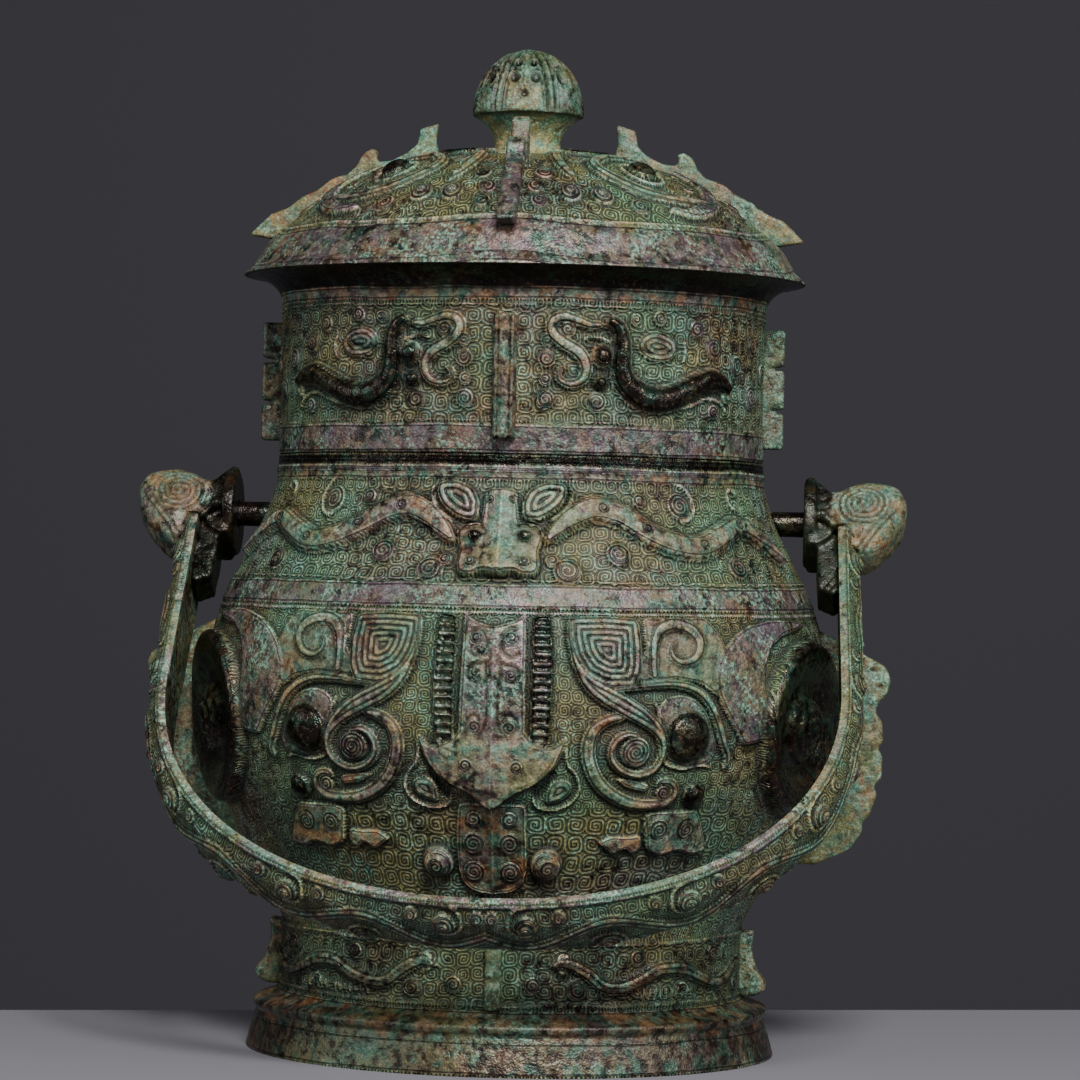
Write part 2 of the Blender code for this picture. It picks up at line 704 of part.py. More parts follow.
def collar_relief(turn):
    """The dragon on one quarter of the collar, facing the middle; plainer at the back."""
    body = drawn(collar_level, (
        (26.0, 0.780), (26.6, 0.620), (28.0, 0.450), (33.0, 0.360), (40.0, 0.385), (47.0, 0.470),
        (53.0, 0.510), (56.5, 0.450),
    ))
    trunk = drawn(collar_level, (
        (15.5, 0.820), (12.8, 0.885), (10.9, 0.830), (12.6, 0.720), (17.4, 0.620), (18.6, 0.500),
        (14.5, 0.450),
    ))
    wing = drawn(collar_level, ((32.0, 0.560), (35.5, 0.660), (41.0, 0.700), (45.0, 0.650)))
    (eye,) = mirrored([(22.2, collar_level(0.640))], turn)
    pieces = [
        ribbon("collar_body", collar_place, mirrored(body, turn), DRAGON_HALF_WIDTH, HORN_RELIEF),
        boss("collar_eye", collar_place, eye[0], eye[1], STUD_RADIUS, HORN_RELIEF),
    ]
    if not turn[1]:
        pieces += [
            ribbon("collar_trunk", collar_place, mirrored(trunk, turn), THIN_HALF_WIDTH, SMALL_RELIEF, 0),
            ribbon("collar_wing", collar_place, mirrored(wing, turn), THIN_HALF_WIDTH, SMALL_RELIEF, 0),
        ]
    return pieces


def dome_relief(turn):
    """The horn, the eye and the snout on one quarter of the dome; plainer at the back."""
    edge = DOME_RADIUS
    horn = mirrored([
        (58.0, edge * 0.17), (44.0, edge * 0.18), (33.0, edge * 0.26), (29.0, edge * 0.38),
        (37.0, edge * 0.50), (52.0, edge * 0.56), (66.0, edge * 0.52),
    ], turn)
    snout = mirrored([(18.0, edge * 0.30), (16.0, edge * 0.45), (17.0, edge * 0.62)], turn)
    pieces = [ribbon("dome_horn", dome_place, horn, DRAGON_HALF_WIDTH, HORN_RELIEF)]
    studs = [(47.0, 0.40, DOME_EYE_RADIUS)]
    if not turn[1]:
        pieces.append(ribbon("dome_snout", dome_place, snout, DRAGON_HALF_WIDTH, SMALL_RELIEF, 0))
        studs += [(15.5, 0.17, STUD_RADIUS), (23.5, 0.17, STUD_RADIUS)]
    for angle, inward, radius in studs:
        (spot,) = mirrored([(angle, edge * inward)], turn)
        pieces.append(boss("dome_stud", dome_place, spot[0], spot[1], radius, HORN_RELIEF))
    return pieces


def collar_flange(angle, face):
    """One notched flange on the collar, in three blocks on a low rib."""
    low = collar_level(0.100)
    high = collar_level(0.880)
    tall = high - low
    reach = face + COLLAR_FLANGE_REACH
    root = face - WALL / 2
    notch = face + COLLAR_FLANGE_REACH * 0.55
    outline = [(root, low), (reach, low)]
    for share in (0.32, 0.68):
        outline.append((reach, low + tall * (share - 0.012)))
        outline.append((notch, low + tall * (share - 0.012)))
        outline.append((notch, low + tall * (share + 0.012)))
        outline.append((reach, low + tall * (share + 0.012)))
    outline += [(reach, high), (root, high)]
    return fin("collar_flange", outline, angle, FLANGE_THICKNESS)


def dome_flange(angle):
    """One long flange on the dome, from a beak past the rim to two hooks by the stem."""
    scale = 1.0 if abs(angle) == 90 else OVAL

    def skin(share):
        return dome_height(DOME_RADIUS * share)

    rise = DOME_FLANGE_RISE
    root = WALL / 2
    marks = [
        (0.96, skin(0.96) - root), (1.09, skin(0.97) + rise * 0.10), (1.00, skin(0.97) + rise * 1.05),
        (0.82, skin(0.82) + rise * 0.78), (0.68, skin(0.68) + rise * 0.66), (0.63, skin(0.63) + rise * 1.20),
        (0.58, skin(0.58) + rise * 1.25), (0.59, skin(0.59) + rise * 0.60), (0.46, skin(0.46) + rise * 0.55),
        (0.42, skin(0.42) + rise * 1.50), (0.34, skin(0.34) + rise * 1.60), (0.33, skin(0.33) - root),
        (0.50, skin(0.50) - root), (0.66, skin(0.66) - root), (0.82, skin(0.82) - root),
    ]
    outline = [(DOME_RADIUS * share * scale, height) for share, height in marks]
    return fin("dome_flange", outline, angle, FLANGE_THICKNESS * 0.6)


def lid(finish):
    """The lid casting."""
    pieces = []
    for turn in QUARTERS:
        pieces += collar_relief(turn)
        pieces += dome_relief(turn)
    for angle in (0, 90, 180, -90):
        face = NECK_RADIUS * (1.0 if abs(angle) == 90 else depth_of(NECK_RADIUS) / NECK_RADIUS)
        pieces.append(collar_flange(angle, face))
        pieces.append(dome_flange(angle))
    return fuse("lid", lid_shell(), pieces, finish)


def strap_middle(share):
    """A point of the strap's inner face in its own plane: half width and drop from the pivot.

    share runs from 0 at a head, through 1 at the bottom.
    """
    straight = STRAP_LENGTH - STRAP_BEND_HEIGHT
    split = 0.38
    start = PLATE_RADIUS * 0.75
    if share < split:
        part = share / split
        wide = STRAP_TOP_HALF_WIDTH + (STRAP_HALF_WIDTH - STRAP_TOP_HALF_WIDTH) * part
        return wide, start + (straight - start) * part
    turn = math.pi / 2 * (share - split) / (1 - split)
    power = 2 / STRAP_BEND_POWER
    return (
        STRAP_HALF_WIDTH * max(0.0, math.cos(turn)) ** power,
        straight + STRAP_BEND_HEIGHT * math.sin(turn) ** power,
    )


def strap_place(along, across):
    """The strap's outer edge line, by 0 to 2 from head to head and metres across its breadth."""
    def spot(value):
        side = 1 if value <= 1 else -1
        wide, drop = strap_middle(min(value, 2 - value))
        return Vector((side * wide, 0, PIVOT_LEVEL - drop))

    here = spot(along)
    before = spot(max(0.0, along - 0.01))
    after = spot(min(2.0, along + 0.01))
    tangent = (after - before).normalized()
    out = Vector((-tangent.z, 0, tangent.x))
    if out.dot(here - Vector((0, 0, PIVOT_LEVEL))) < 0:
        out = -out
    return here, out, Vector((0, across, 0))


def strap():
    """The strap with a flat inner face and a crowned outer face."""
    rings = []
    steps = 26
    half = STRAP_BREADTH / 2
    for index in range(steps + 1):
        along = 2 * index / steps
        ring = []
        for lift, across in (
            (0.0, -half), (0.0, half), (STRAP_EDGE, half), (STRAP_EDGE + STRAP_CROWN, half * 0.5),
            (STRAP_EDGE + STRAP_CROWN, -half * 0.5), (STRAP_EDGE, -half),
        ):
            spot, out, aside = strap_place(along, across)
            ring.append(spot + out * lift + aside)
        rings.append(ring)
    return lofted("strap", rings)


def strap_dragons():
    """Low dragons that wave along the strap's outer face."""
    pieces = []
    swing = STRAP_BREADTH * 0.20
    for start in (0.26, 1.06):
        rings = []
        steps = 12
        for index in range(steps + 1):
            along = start + 0.68 * index / steps
            centre = swing * math.sin(2 * math.pi * 1.5 * index / steps)
            thin = 0.5 if index in (0, steps) else 1.0
            width = STRAP_BREADTH * 0.18 * thin
            spot, out, _ = strap_place(along, 0.0)
            deep = STRAP_EDGE * 0.5
            high = STRAP_EDGE + STRAP_CROWN + STRAP_RELIEF * thin
            rings.append([
                spot + out * deep + Vector((0, centre - width, 0)),
                spot + out * high + Vector((0, centre, 0)),
                spot + out * deep + Vector((0, centre + width, 0)),
            ])
        pieces.append(lofted("strap_dragon", rings))
    return pieces


def blob(name, centre, radii, sides=10, rows=6):
    """An ellipsoid."""
    verts = [centre - Vector((radii[0], 0, 0))]
    for row in range(1, rows):
        turn = math.pi * row / rows
        for side in range(sides):
            roll = 2 * math.pi * side / sides
            verts.append(centre + Vector((
                -radii[0] * math.cos(turn),
                radii[1] * math.sin(turn) * math.cos(roll),
                radii[2] * math.sin(turn) * math.sin(roll),
            )))
    verts.append(centre + Vector((radii[0], 0, 0)))
    last = len(verts) - 1
    faces = []
    for side in range(sides):
        beside = (side + 1) % sides
        faces.append((0, 1 + beside, 1 + side))
        faces.append((last, last - sides + side, last - sides + beside))
        for row in range(rows - 2):
            low = 1 + row * sides
            faces.append((low + side, low + beside, low + sides + beside, low + sides + side))
    return closed_object(name, verts, faces)


def head(side):
    """A beast's head that looks outwards, on the round plate that turns on the pin."""
    level = PIVOT_LEVEL
    long = HEAD_LENGTH / 2
    tall = HEAD_HEIGHT / 2
    broad = HEAD_BREADTH / 2
    middle = PLATE_BACK + long

    def at(out, across, up):
        return Vector((side * out, across, level + up))

    pieces = [
        round_bar("neck", tall * 0.62, side * (PLATE_BACK - WALL / 4), side * middle, level, 8),
        blob("skull", at(middle + long * 0.12, 0, 0), (long * 0.88, broad * 0.94, tall)),
        blob("brow", at(middle + long * 0.36, 0, tall * 0.40), (long * 0.60, broad * 0.84, tall * 0.56), 8, 5),
    ]
    for flank in (-1, 1):
        spot = at(middle + long * 0.02, flank * broad * 0.74, tall * 0.16)
        pieces.append(blob("curl", spot, (long * 0.52, broad * 0.34, tall * 0.56), 8, 4))
    inner = STRAP_TOP_HALF_WIDTH
    bight = (
        (PLATE_FACE + PLATE_THICKNESS * 0.1, PLATE_RADIUS * 0.30),
        (inner + STRAP_EDGE, PLATE_RADIUS * 0.30),
        (inner + STRAP_EDGE, ROOT_DROP),
        (inner + STRAP_EDGE * 0.2, ROOT_DROP * 1.08),
        (PLATE_BACK + STRAP_EDGE * 0.3, ROOT_DROP),
        (PLATE_BACK + STRAP_EDGE, PLATE_RADIUS * 1.15),
        (PLATE_FACE + PLATE_THICKNESS * 0.3, PLATE_RADIUS * 0.95),
    )
    half = STRAP_BREADTH / 2 * 0.92
    low = [at(out, -half, -drop) for out, drop in bight]
    high = [at(out, half, -drop) for out, drop in bight]
    pieces.append(lofted("root", [low, high]))
    disc = round_bar("plate", PLATE_RADIUS, side * PLATE_FACE, side * PLATE_BACK, level, 20)
    return disc, pieces


def handle(finish):
    """The handle casting, made hanging straight down and then swung to where it rests."""
    pieces = strap_dragons()
    for side in (-1, 1):
        disc, more = head(side)
        pieces += [disc] + more
    made = fuse("handle", strap(), pieces, finish)
    for side in (-1, 1):
        end = PLATE_FACE + SOCKET_DEPTH
        cutter = round_bar(
            "socket", PIN_RADIUS + PIN_CLEARANCE, side * (PLATE_FACE - WALL), side * end, PIVOT_LEVEL, 24,
        )
        cut(made, cutter)
    pivot = Vector((0, 0, PIVOT_LEVEL))
    for vertex in made.data.vertices:
        vertex.co -= pivot
    made.location = pivot
    made.rotation_euler = (-math.radians(HANDLE_REST_ANGLE), 0, 0)
    return made


def build():
    """Build the three castings round the vessel's own axis."""
    clear_scene()
    axis = bpy.data.objects.new("vessel_axis", None)
    bpy.context.collection.objects.link(axis)
    axis.location = (0, AXIS_Y, 0)
    castings = (
        vessel(bronze("dark_green_bronze", (0.075, 0.085, 0.060), 0.48)),
        lid(bronze("green_brown_bronze", (0.080, 0.085, 0.065), 0.50)),
        handle(bronze("brown_green_bronze", (0.085, 0.080, 0.055), 0.46)),
    )
    for casting in castings:
        casting.parent = axis
        casting.data.shade_smooth()
        casting.data.set_sharp_from_angle(angle=math.radians(38))


build()
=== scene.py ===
"""A lidded bronze wine vessel with a swing handle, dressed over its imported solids.

Lengths are metres and angles are degrees, unless a name ends in mm. A place on a wall is an angle
round the oval, 0 at the front and 90 at the right side, with a height; a place on the dome is an
angle with a radius. Relief is drawn on a flat chart of a quarter of a wall, and the chart is then
laid on all four quarters of the turned wall, the back ones with coarser cells.
"""

import json
import logging
import math
from collections.abc import Callable, Sequence
from dataclasses import dataclass, field
from enum import Enum

import bpy
import numpy as np
from mathutils import Matrix, Vector


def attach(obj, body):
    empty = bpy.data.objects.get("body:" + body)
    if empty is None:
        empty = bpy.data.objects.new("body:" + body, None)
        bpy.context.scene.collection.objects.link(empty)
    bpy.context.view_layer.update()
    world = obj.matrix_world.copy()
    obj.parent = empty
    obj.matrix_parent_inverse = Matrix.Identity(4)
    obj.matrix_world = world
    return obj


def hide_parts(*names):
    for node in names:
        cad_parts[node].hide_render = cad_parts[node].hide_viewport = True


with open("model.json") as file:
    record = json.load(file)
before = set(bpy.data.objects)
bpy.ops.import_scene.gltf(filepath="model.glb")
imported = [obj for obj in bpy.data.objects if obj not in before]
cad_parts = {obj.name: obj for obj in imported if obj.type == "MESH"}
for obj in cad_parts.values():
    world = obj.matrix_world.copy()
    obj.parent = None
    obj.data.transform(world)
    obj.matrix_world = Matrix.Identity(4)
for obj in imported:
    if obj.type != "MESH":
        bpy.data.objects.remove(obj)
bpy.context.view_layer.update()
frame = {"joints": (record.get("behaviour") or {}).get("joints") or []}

LOG = logging.getLogger("wine_vessel")
MM = 0.001
PIVOT = Vector(frame["joints"][0]["pos_m"])
AXIS_Y = PIVOT.y
COARSE = 1.0
FULL = 2 * math.pi
NOUGHT = (0.0, 0.0, 0.0)
SIDES = (("right", 90.0), ("left", -90.0))
FACES = (("front", 0.0), ("back", 180.0))
# Angles that a ring's line runs through, a little past both ends of a quarter.
AROUND = (-8, 20, 45, 70, 98)
# How deep a flange stands in its wall.
SUNK = 0.0018
# How much narrower than even the cells of a whole turned wall are at the front.
CROWD = 0.42
# Three primes that mix a cell's place into the random table, and that table's size.
SCATTER = (73856093, 19349663, 83492791)
TABLE = 4096
# Millimetres inside a figure's outline for ground far from any, and what keeps them above 0 in a colour.
BARE = -3.0
RIM_SHIFT = 10.0

Piece = bpy.types.Object
Socket = bpy.types.NodeSocket
Path = Sequence[tuple[float, ...]]
Line = Path | np.ndarray


@dataclass(frozen=True)
class Form:
    """The castings' sizes, the same as their solids have, and the room that the handle's swing needs.

    A side coil stays within room_below up to room_turn from straight down, and within room_beside past it.
    """

    oval: float = 0.90
    wall: float = 0.0036
    fit_clearance: float = 0.0009
    rest_gap: float = 0.0003
    foot_radius: float = 0.1000
    lip_radius: float = 0.0970
    lip_height: float = 0.0185
    lip_thickness: float = 0.0040
    foot_wall_radius: float = 0.0872
    foot_height: float = 0.0490
    belly_radius: float = 0.1185
    belly_swell: float = 0.0820
    shoulder_height: float = 0.0920
    neck_radius: float = 0.0916
    spigot_height: float = 0.0300
    collar_height: float = 0.0575
    rim_radius: float = 0.1064
    rim_flare: float = 0.0105
    rim_thickness: float = 0.0040
    dome_radius: float = 0.0975
    dome_foot: float = 0.0120
    dome_rise: float = 0.0350
    dome_power: float = 2.8
    stem_radius: float = 0.0125
    stem_height: float = 0.0160
    cap_radius: float = 0.0215
    cap_height: float = 0.0250
    pin_radius: float = 0.0048
    flange_thickness: float = 0.0085
    belly_flange_reach: float = 0.0235
    collar_flange_reach: float = 0.0078
    foot_flange_reach: float = 0.0105
    dome_flange_rise: float = 0.0090
    room_turn: float = 37.5
    room_below: float = 0.1225
    room_beside: float = 0.1198

    @property
    def belly_level(self) -> float:
        """Height of the belly's widest ring."""
        return self.foot_height + self.belly_swell

    @property
    def seam(self) -> float:
        """Height where the lid meets the body."""
        return self.belly_level + self.shoulder_height

    @property
    def collar_top(self) -> float:
        """Height where the lid's collar starts to flare."""
        return self.seam + self.collar_height

    @property
    def rim(self) -> float:
        """Height of the lid's sharp rim."""
        return self.collar_top + self.rim_flare

    @property
    def dome_top(self) -> float:
        """Height of the dome at its middle."""
        return self.rim + self.dome_foot + self.dome_rise

    @property
    def cap_level(self) -> float:
        """Height of the knob's widest ring."""
        return self.dome_top + self.stem_height

    def body_radius(self, height: np.ndarray | float) -> np.ndarray:
        """Half the width of the body's outer wall.

        Args:
            height: Heights over the table.

        Returns:
            The half width at each height.
        """
        height = np.asarray(height, float)
        rise = np.clip((height - self.foot_height) / self.belly_swell, 0, 1)
        swell = np.sin(math.pi / 2 * rise ** 1.05)
        low = self.foot_wall_radius + (self.belly_radius - self.foot_wall_radius) * swell
        rise = np.clip((height - self.belly_level) / self.shoulder_height, 0, 1)
        draw = (1 - np.cos(math.pi * rise ** 1.22)) / 2
        high = self.belly_radius + (self.neck_radius - self.belly_radius) * draw
        return np.where(height <= self.belly_level, low, high)

    def depth(self, radius: np.ndarray | float) -> np.ndarray:
        """Half the depth that goes with a half width: oval on the body, round at the knob.

        Args:
            radius: Half widths.

        Returns:
            The half depth of each.
        """
        oval_from = self.foot_wall_radius - 2 * self.wall
        share = np.clip((radius - self.cap_radius) / (oval_from - self.cap_radius), 0, 1)
        return radius * (1 - (1 - self.oval) * share)

    def dome_height(self, radius: np.ndarray | float) -> np.ndarray:
        """Height of the lid's dome at a half width."""
        return self.dome_top - self.dome_rise * (np.asarray(radius) / self.dome_radius) ** self.dome_power


FORM = Form()


class Tone(Enum):
    """What a raised patch is finished as."""

    FIGURE = "figure"
    PLAIN = "plain"
    DARK = "dark"
    RUST = "rust"


LAYERS = ("lift", "cover", "plain", "dark", "rust", "cut", "recess", "edge", "curl_u", "curl_v", "curl",
          "inset", "rate")


def smooth(value: np.ndarray) -> np.ndarray:
    """Ease from 0 to 1 over the values 0 to 1."""
    value = np.clip(value, 0, 1)
    return value * value * (3 - 2 * value)


def mottle(points: np.ndarray, size: float, seed: int, octaves: int = 1) -> np.ndarray:
    """Smooth seeded noise between about -1 and 1.

    Args:
        points: Places in space, one a row.
        size: Length of one swell of the coarsest octave.
        seed: Which noise.
        octaves: How many finer octaves are added up.

    Returns:
        One value a point.
    """
    table = np.random.default_rng(seed).uniform(-1, 1, TABLE)
    total = np.zeros(len(points))
    for octave in range(octaves):
        scaled = points / (size / 2 ** octave) + 11.3 * (seed + octave)
        base = np.floor(scaled).astype(np.int64)
        part = scaled - base
        part = part * part * (3 - 2 * part)
        value = np.zeros(len(points))
        for corner in range(8):
            step = np.array([corner & 1, corner >> 1 & 1, corner >> 2 & 1])
            weight = np.prod(np.where(step, part, 1 - part), axis=1)
            cell = base + step
            x, y, z = (cell * SCATTER).T
            value += weight * table[(x ^ y ^ z) & (TABLE - 1)]
        total += value * 0.5 ** octave
    return total / (2 - 0.5 ** (octaves - 1))


def blurred(layer: np.ndarray, cells: int) -> np.ndarray:
    """Average a layer twice over a square of 2 * cells + 1 cells."""
    width = 2 * cells + 1
    for _ in range(2):
        for axis in (0, 1):
            padding = [(0, 0), (0, 0)]
            padding[axis] = (cells + 1, cells)
            sums = np.cumsum(np.pad(layer, padding, mode="edge"), axis=axis)
            if axis == 0:
                layer = (sums[width:] - sums[:-width]) / width
            else:
                layer = (sums[:, width:] - sums[:, :-width]) / width
    return layer


class Chart:
    """A flat raster of a quarter of a wall, on which relief is drawn."""

    def __init__(self, place: Callable[[float, float], tuple[float, float]],
                 corners: tuple[tuple[float, float], tuple[float, float]], cell: float = 0.00035):
        """Start with a bare chart.

        Args:
            place: Takes an angle and a level in millimetres to the chart's own two lengths.
            corners: The chart's lowest and highest corner.
            cell: Size of one cell.
        """
        self.place = place
        self.cell = cell
        (low_u, low_v), (high_u, high_v) = corners
        self.us = np.arange(low_u, high_u, cell)
        self.vs = np.arange(low_v, high_v, cell)
        self.layers = {name: np.zeros((len(self.vs), len(self.us))) for name in LAYERS}
        self.layers["inset"] += BARE

    def spots(self, points: Path) -> np.ndarray:
        """Lengths on the chart of angles and levels, with a half width where one is given."""
        return np.array([(*self.place(angle, level), half[0] * MM if half else 0.0)
                         for angle, level, *half in points])

    def rounded(self, points: Path) -> np.ndarray:
        """Run a line from corner to corner and back to the first, its corners cut off a little, twice."""
        spots = self.spots(points)
        for _ in range(2):
            ahead = np.roll(spots, -1, axis=0) - spots
            part = np.minimum(0.25, 1.3 * MM / np.maximum(np.hypot(ahead[:, 0], ahead[:, 1]), 1e-9))[:, None]
            spots = np.stack([spots + ahead * part, spots + ahead * (1 - part)], 1).reshape(-1, 3)
        return np.vstack([spots, spots[:1]])

    def trace(self, points: Line) -> np.ndarray:
        """Run a smooth line through points.

        Args:
            points: Angle, level in millimetres and, if the line's width changes, half width in mm;
                or a line that whorl gave, which is left as it is.

        Returns:
            Rows of two lengths on the chart and a half width.
        """
        if isinstance(points, np.ndarray):
            return points
        spots = self.spots(points)
        ends = np.vstack([2 * spots[0] - spots[1], spots, 2 * spots[-1] - spots[-2]])
        line = []
        for index in range(1, len(ends) - 2):
            a, b, c, d = ends[index - 1:index + 3]
            steps = max(2, int(np.hypot(*(c - b)[:2]) / (3.5 * self.cell)))
            for t in (step / steps for step in range(steps)):
                line.append(0.5 * (2 * b + (c - a) * t + (2 * a - 5 * b + 4 * c - d) * t * t
                                   + (3 * b - a - 3 * c + d) * t ** 3))
        line.append(ends[-2])
        return np.array(line)

    def whorl(self, angle: float, level: float, inner: float, outer: float, start: float,
              sweep: float) -> np.ndarray:
        """A spiral line round a place.

        Args:
            angle: Angle of its middle.
            level: Level of its middle, in millimetres.
            inner: First radius, in millimetres.
            outer: Last radius, in millimetres.
            start: Direction of its first point.
            sweep: How far it turns; below 0 it turns the other way.

        Returns:
            Rows of two lengths on the chart and no half width.
        """
        u, v = self.place(angle, level)
        share = np.linspace(0, 1, max(8, int(abs(sweep) / 12)))
        turn = np.radians(start + sweep * share)
        reach = (inner + (outer - inner) * share) * MM
        return np.stack([u + reach * np.cos(turn), v + reach * np.sin(turn), 0 * share], axis=1)

    def near(self, line: np.ndarray, reach: float) -> tuple:
        """Measure each cell's distance to a line.

        Args:
            line: Rows of two lengths and a half width.
            reach: How far from the line the cells matter.

        Returns:
            The window's slices, its two grids of lengths, the distances, and the line's half width
            and its share of the way at the nearest point.
        """
        low = ((line[:, :2].min(0) - reach - (self.us[0], self.vs[0])) / self.cell).astype(int)
        high = ((line[:, :2].max(0) + reach - (self.us[0], self.vs[0])) / self.cell).astype(int) + 2
        low = np.maximum(low, 0)
        high = np.maximum(np.minimum(high, (len(self.us), len(self.vs))), low + 1)
        window = (slice(low[1], high[1]), slice(low[0], high[0]))
        grid_u, grid_v = np.meshgrid(self.us[window[1]], self.vs[window[0]])
        best = np.full(grid_u.shape, 1.0)
        half = np.zeros(grid_u.shape)
        share = np.zeros(grid_u.shape)
        count = len(line) - 1
        origin = np.array([self.us[low[0]], self.vs[low[1]]])
        for index in range(count):
            a, b = line[index], line[index + 1]
            span = b[:2] - a[:2]
            square = max(float(span @ span), 1e-14)
            first = np.maximum(((np.minimum(a, b)[:2] - reach - origin) / self.cell).astype(int), 0)
            last = ((np.maximum(a, b)[:2] + reach - origin) / self.cell).astype(int) + 2
            part = (slice(first[1], max(last[1], 0)), slice(first[0], max(last[0], 0)))
            u, v = grid_u[part] - a[0], grid_v[part] - a[1]
            if not u.size:
                continue
            t = np.clip((u * span[0] + v * span[1]) / square, 0, 1)
            distance = np.hypot(u - t * span[0], v - t * span[1])
            closer = distance < best[part]
            best[part] = np.where(closer, distance, best[part])
            half[part] = np.where(closer, a[2] + (b[2] - a[2]) * t, half[part])
            share[part] = np.where(closer, (index + t) / count, share[part])
        return window, grid_u, grid_v, best, half, share

    def stamp(self, window: tuple, rise: np.ndarray, inward: np.ndarray, tone: Tone, edge: float, *,
              pitch: float = 0.0, dip: float = 0.0, rim: float = 0.0, rim_width: float = 1.0) -> None:
        """Raise part of the chart, carve it and finish it.

        Args:
            window: Slices of the part.
            rise: Lift of each cell.
            inward: How far each cell lies inside the shape, below 0 outside it.
            tone: What it is finished as.
            edge: Width of its sloping side, in millimetres.
            pitch: Spacing in millimetres of the lines cut along it, or 0 for a single border line.
            dip: Depth of those lines, in millimetres.
            rim: Depth in millimetres by which its middle lies below its rim.
            rim_width: Width of that rim, in millimetres.
        """
        share = smooth(inward / (edge * MM))
        cut = 0.0
        if pitch:
            cut = (0.5 - 0.5 * np.cos(FULL * inward / (pitch * MM))) ** 2 * share
            rise = rise - dip * MM * cut
        if rim:
            rise = rise - rim * MM * smooth((inward - rim_width * MM) / ((rim_width - 0.3) * MM))
        lift, cover, inset = (self.layers[name][window] for name in ("lift", "cover", "inset"))
        over = (rise >= lift) & (inward > 0)
        beside = np.where(inset > 0, inset, np.maximum(inset, np.minimum(inward / MM, 0)))
        tones = {name.value: share if tone is name else 0.0 for name in (Tone.PLAIN, Tone.DARK, Tone.RUST)}
        self.lay(window, over, cover=np.maximum(cover, share), curl=0.0, cut=cut,
                 rate=1 / pitch if pitch else 0.0, **tones)
        self.layers["lift"][window] = np.where(over, rise, lift)
        self.layers["inset"][window] = np.where(over, np.minimum(inward / MM, 12), beside)

    def lay(self, window: tuple, where: np.ndarray, **values: np.ndarray | float) -> None:
        """Write values into the named layers, where a mask allows it."""
        for name, value in values.items():
            self.layers[name][window] = np.where(where, value, self.layers[name][window])

    def band(self, line: Line, height: float, half: float = 0.0, *, edge: float = 0.7, crown: float = 0.25,
             taper: float = 0.1, pitch: float = 0.0, dip: float = 0.45, rim: float = 0.0,
             tone: Tone = Tone.FIGURE) -> None:
        """Raise a band along a line.

        Args:
            line: Points for trace, or what whorl gives.
            height: Lift of its top, in millimetres.
            half: Half width in millimetres, where the line brings none.
            edge: Width of its sloping side, in millimetres.
            crown: Share of the lift that its middle has more than its sides.
            taper: Share of the way over which each end narrows.
            pitch: Spacing of the lines cut along it, in millimetres, or 0 for none.
            dip: Depth of those lines, in millimetres.
            rim: Depth in millimetres by which its middle lies below its two rims.
            tone: What it is finished as.
        """
        line = self.trace(line)
        widest = max(float(line[:, 2].max()), half * MM)
        window, _, _, distance, width, share = self.near(line, widest + 3 * self.cell)
        if half:
            width = np.full(distance.shape, half * MM)
        if taper:
            width = width * (0.25 + 0.75 * smooth(np.minimum(share, 1 - share) / taper))
        inward = width - distance
        across = np.clip(distance / np.maximum(width, 1e-6), 0, 1)
        rise = height * MM * (1 - crown * across ** 2) * smooth(inward / (edge * MM))
        self.stamp(window, rise, inward, tone, edge, pitch=pitch, dip=dip, rim=rim)

    def ring(self, level: float, height: float, half: float, edge: float, tone: Tone = Tone.FIGURE,
             crown: float = 0.25, angles: Sequence[float] = AROUND) -> None:
        """Raise a band all the way round.

        Args:
            level: Level of its middle, in millimetres.
            height: Lift of its top, in millimetres.
            half: Half width, in millimetres.
            edge: Width of its sloping side, in millimetres.
            tone: What it is finished as.
            crown: Share of the lift that its middle has more than its sides.
            angles: Where its line is set out.
        """
        line = [(angle, level) for angle in angles]
        self.band(line, height, half, edge=edge, crown=crown, taper=0, tone=tone)

    def belt(self, low: float, high: float, lift: float, edge: float, tone: Tone = Tone.FIGURE) -> None:
        """Raise all that lies between two levels.

        Args:
            low: Lower level, in millimetres.
            high: Upper level, in millimetres.
            lift: How far it is raised, in millimetres.
            edge: Width of its sloping side, in millimetres.
            tone: What it is finished as.
        """
        first, last = AROUND[0], AROUND[-1]
        self.patch([(first, low), (last, low), (last, high), (first, high)], [(low, lift), (high, lift)],
                   edge=edge, tone=tone)

    def patch(self, points: Path, heights: Path, *, edge: float = 0.7,
              ridge: float = 0.0, ridge_half: float = 12.0, pitch: float = 0.0, dip: float = 0.4,
              rim: float = 0.0, tone: Tone = Tone.FIGURE) -> None:
        """Raise the inside of an outline.

        Args:
            points: The outline's corners, as angle and level in millimetres.
            heights: Levels in millimetres with the lift in millimetres there.
            edge: Width of its sloping side, in millimetres.
            ridge: Share of the lift lost away from the middle of the face, as on a roof.
            ridge_half: Distance from the middle in millimetres where that share is reached.
            pitch: Spacing of the lines cut parallel to its outline, in millimetres, or 0 for none.
            dip: Depth of those lines, in millimetres.
            rim: Depth in millimetres by which its middle lies below its rim.
            tone: What it is finished as.
        """
        line = self.rounded(points)
        window, grid_u, grid_v, distance, _, _ = self.near(line, 0.045)
        inside = np.zeros(grid_u.shape, bool)
        for (u1, v1, _), (u2, v2, _) in zip(line[:-1], line[1:]):
            if abs(v2 - v1) > 1e-12:
                crosses = (grid_v < v1) != (grid_v < v2)
                inside ^= crosses & (grid_u < u1 + (grid_v - v1) * (u2 - u1) / (v2 - v1))
        inward = np.where(inside, distance, -distance)
        levels = sorted((self.place(0.0, level)[1], lift * MM) for level, lift in heights)
        lift = np.interp(grid_v, [level for level, _ in levels], [rise for _, rise in levels])
        lift = lift * (1 - ridge * np.clip(np.abs(grid_u) / (ridge_half * MM), 0, 1))
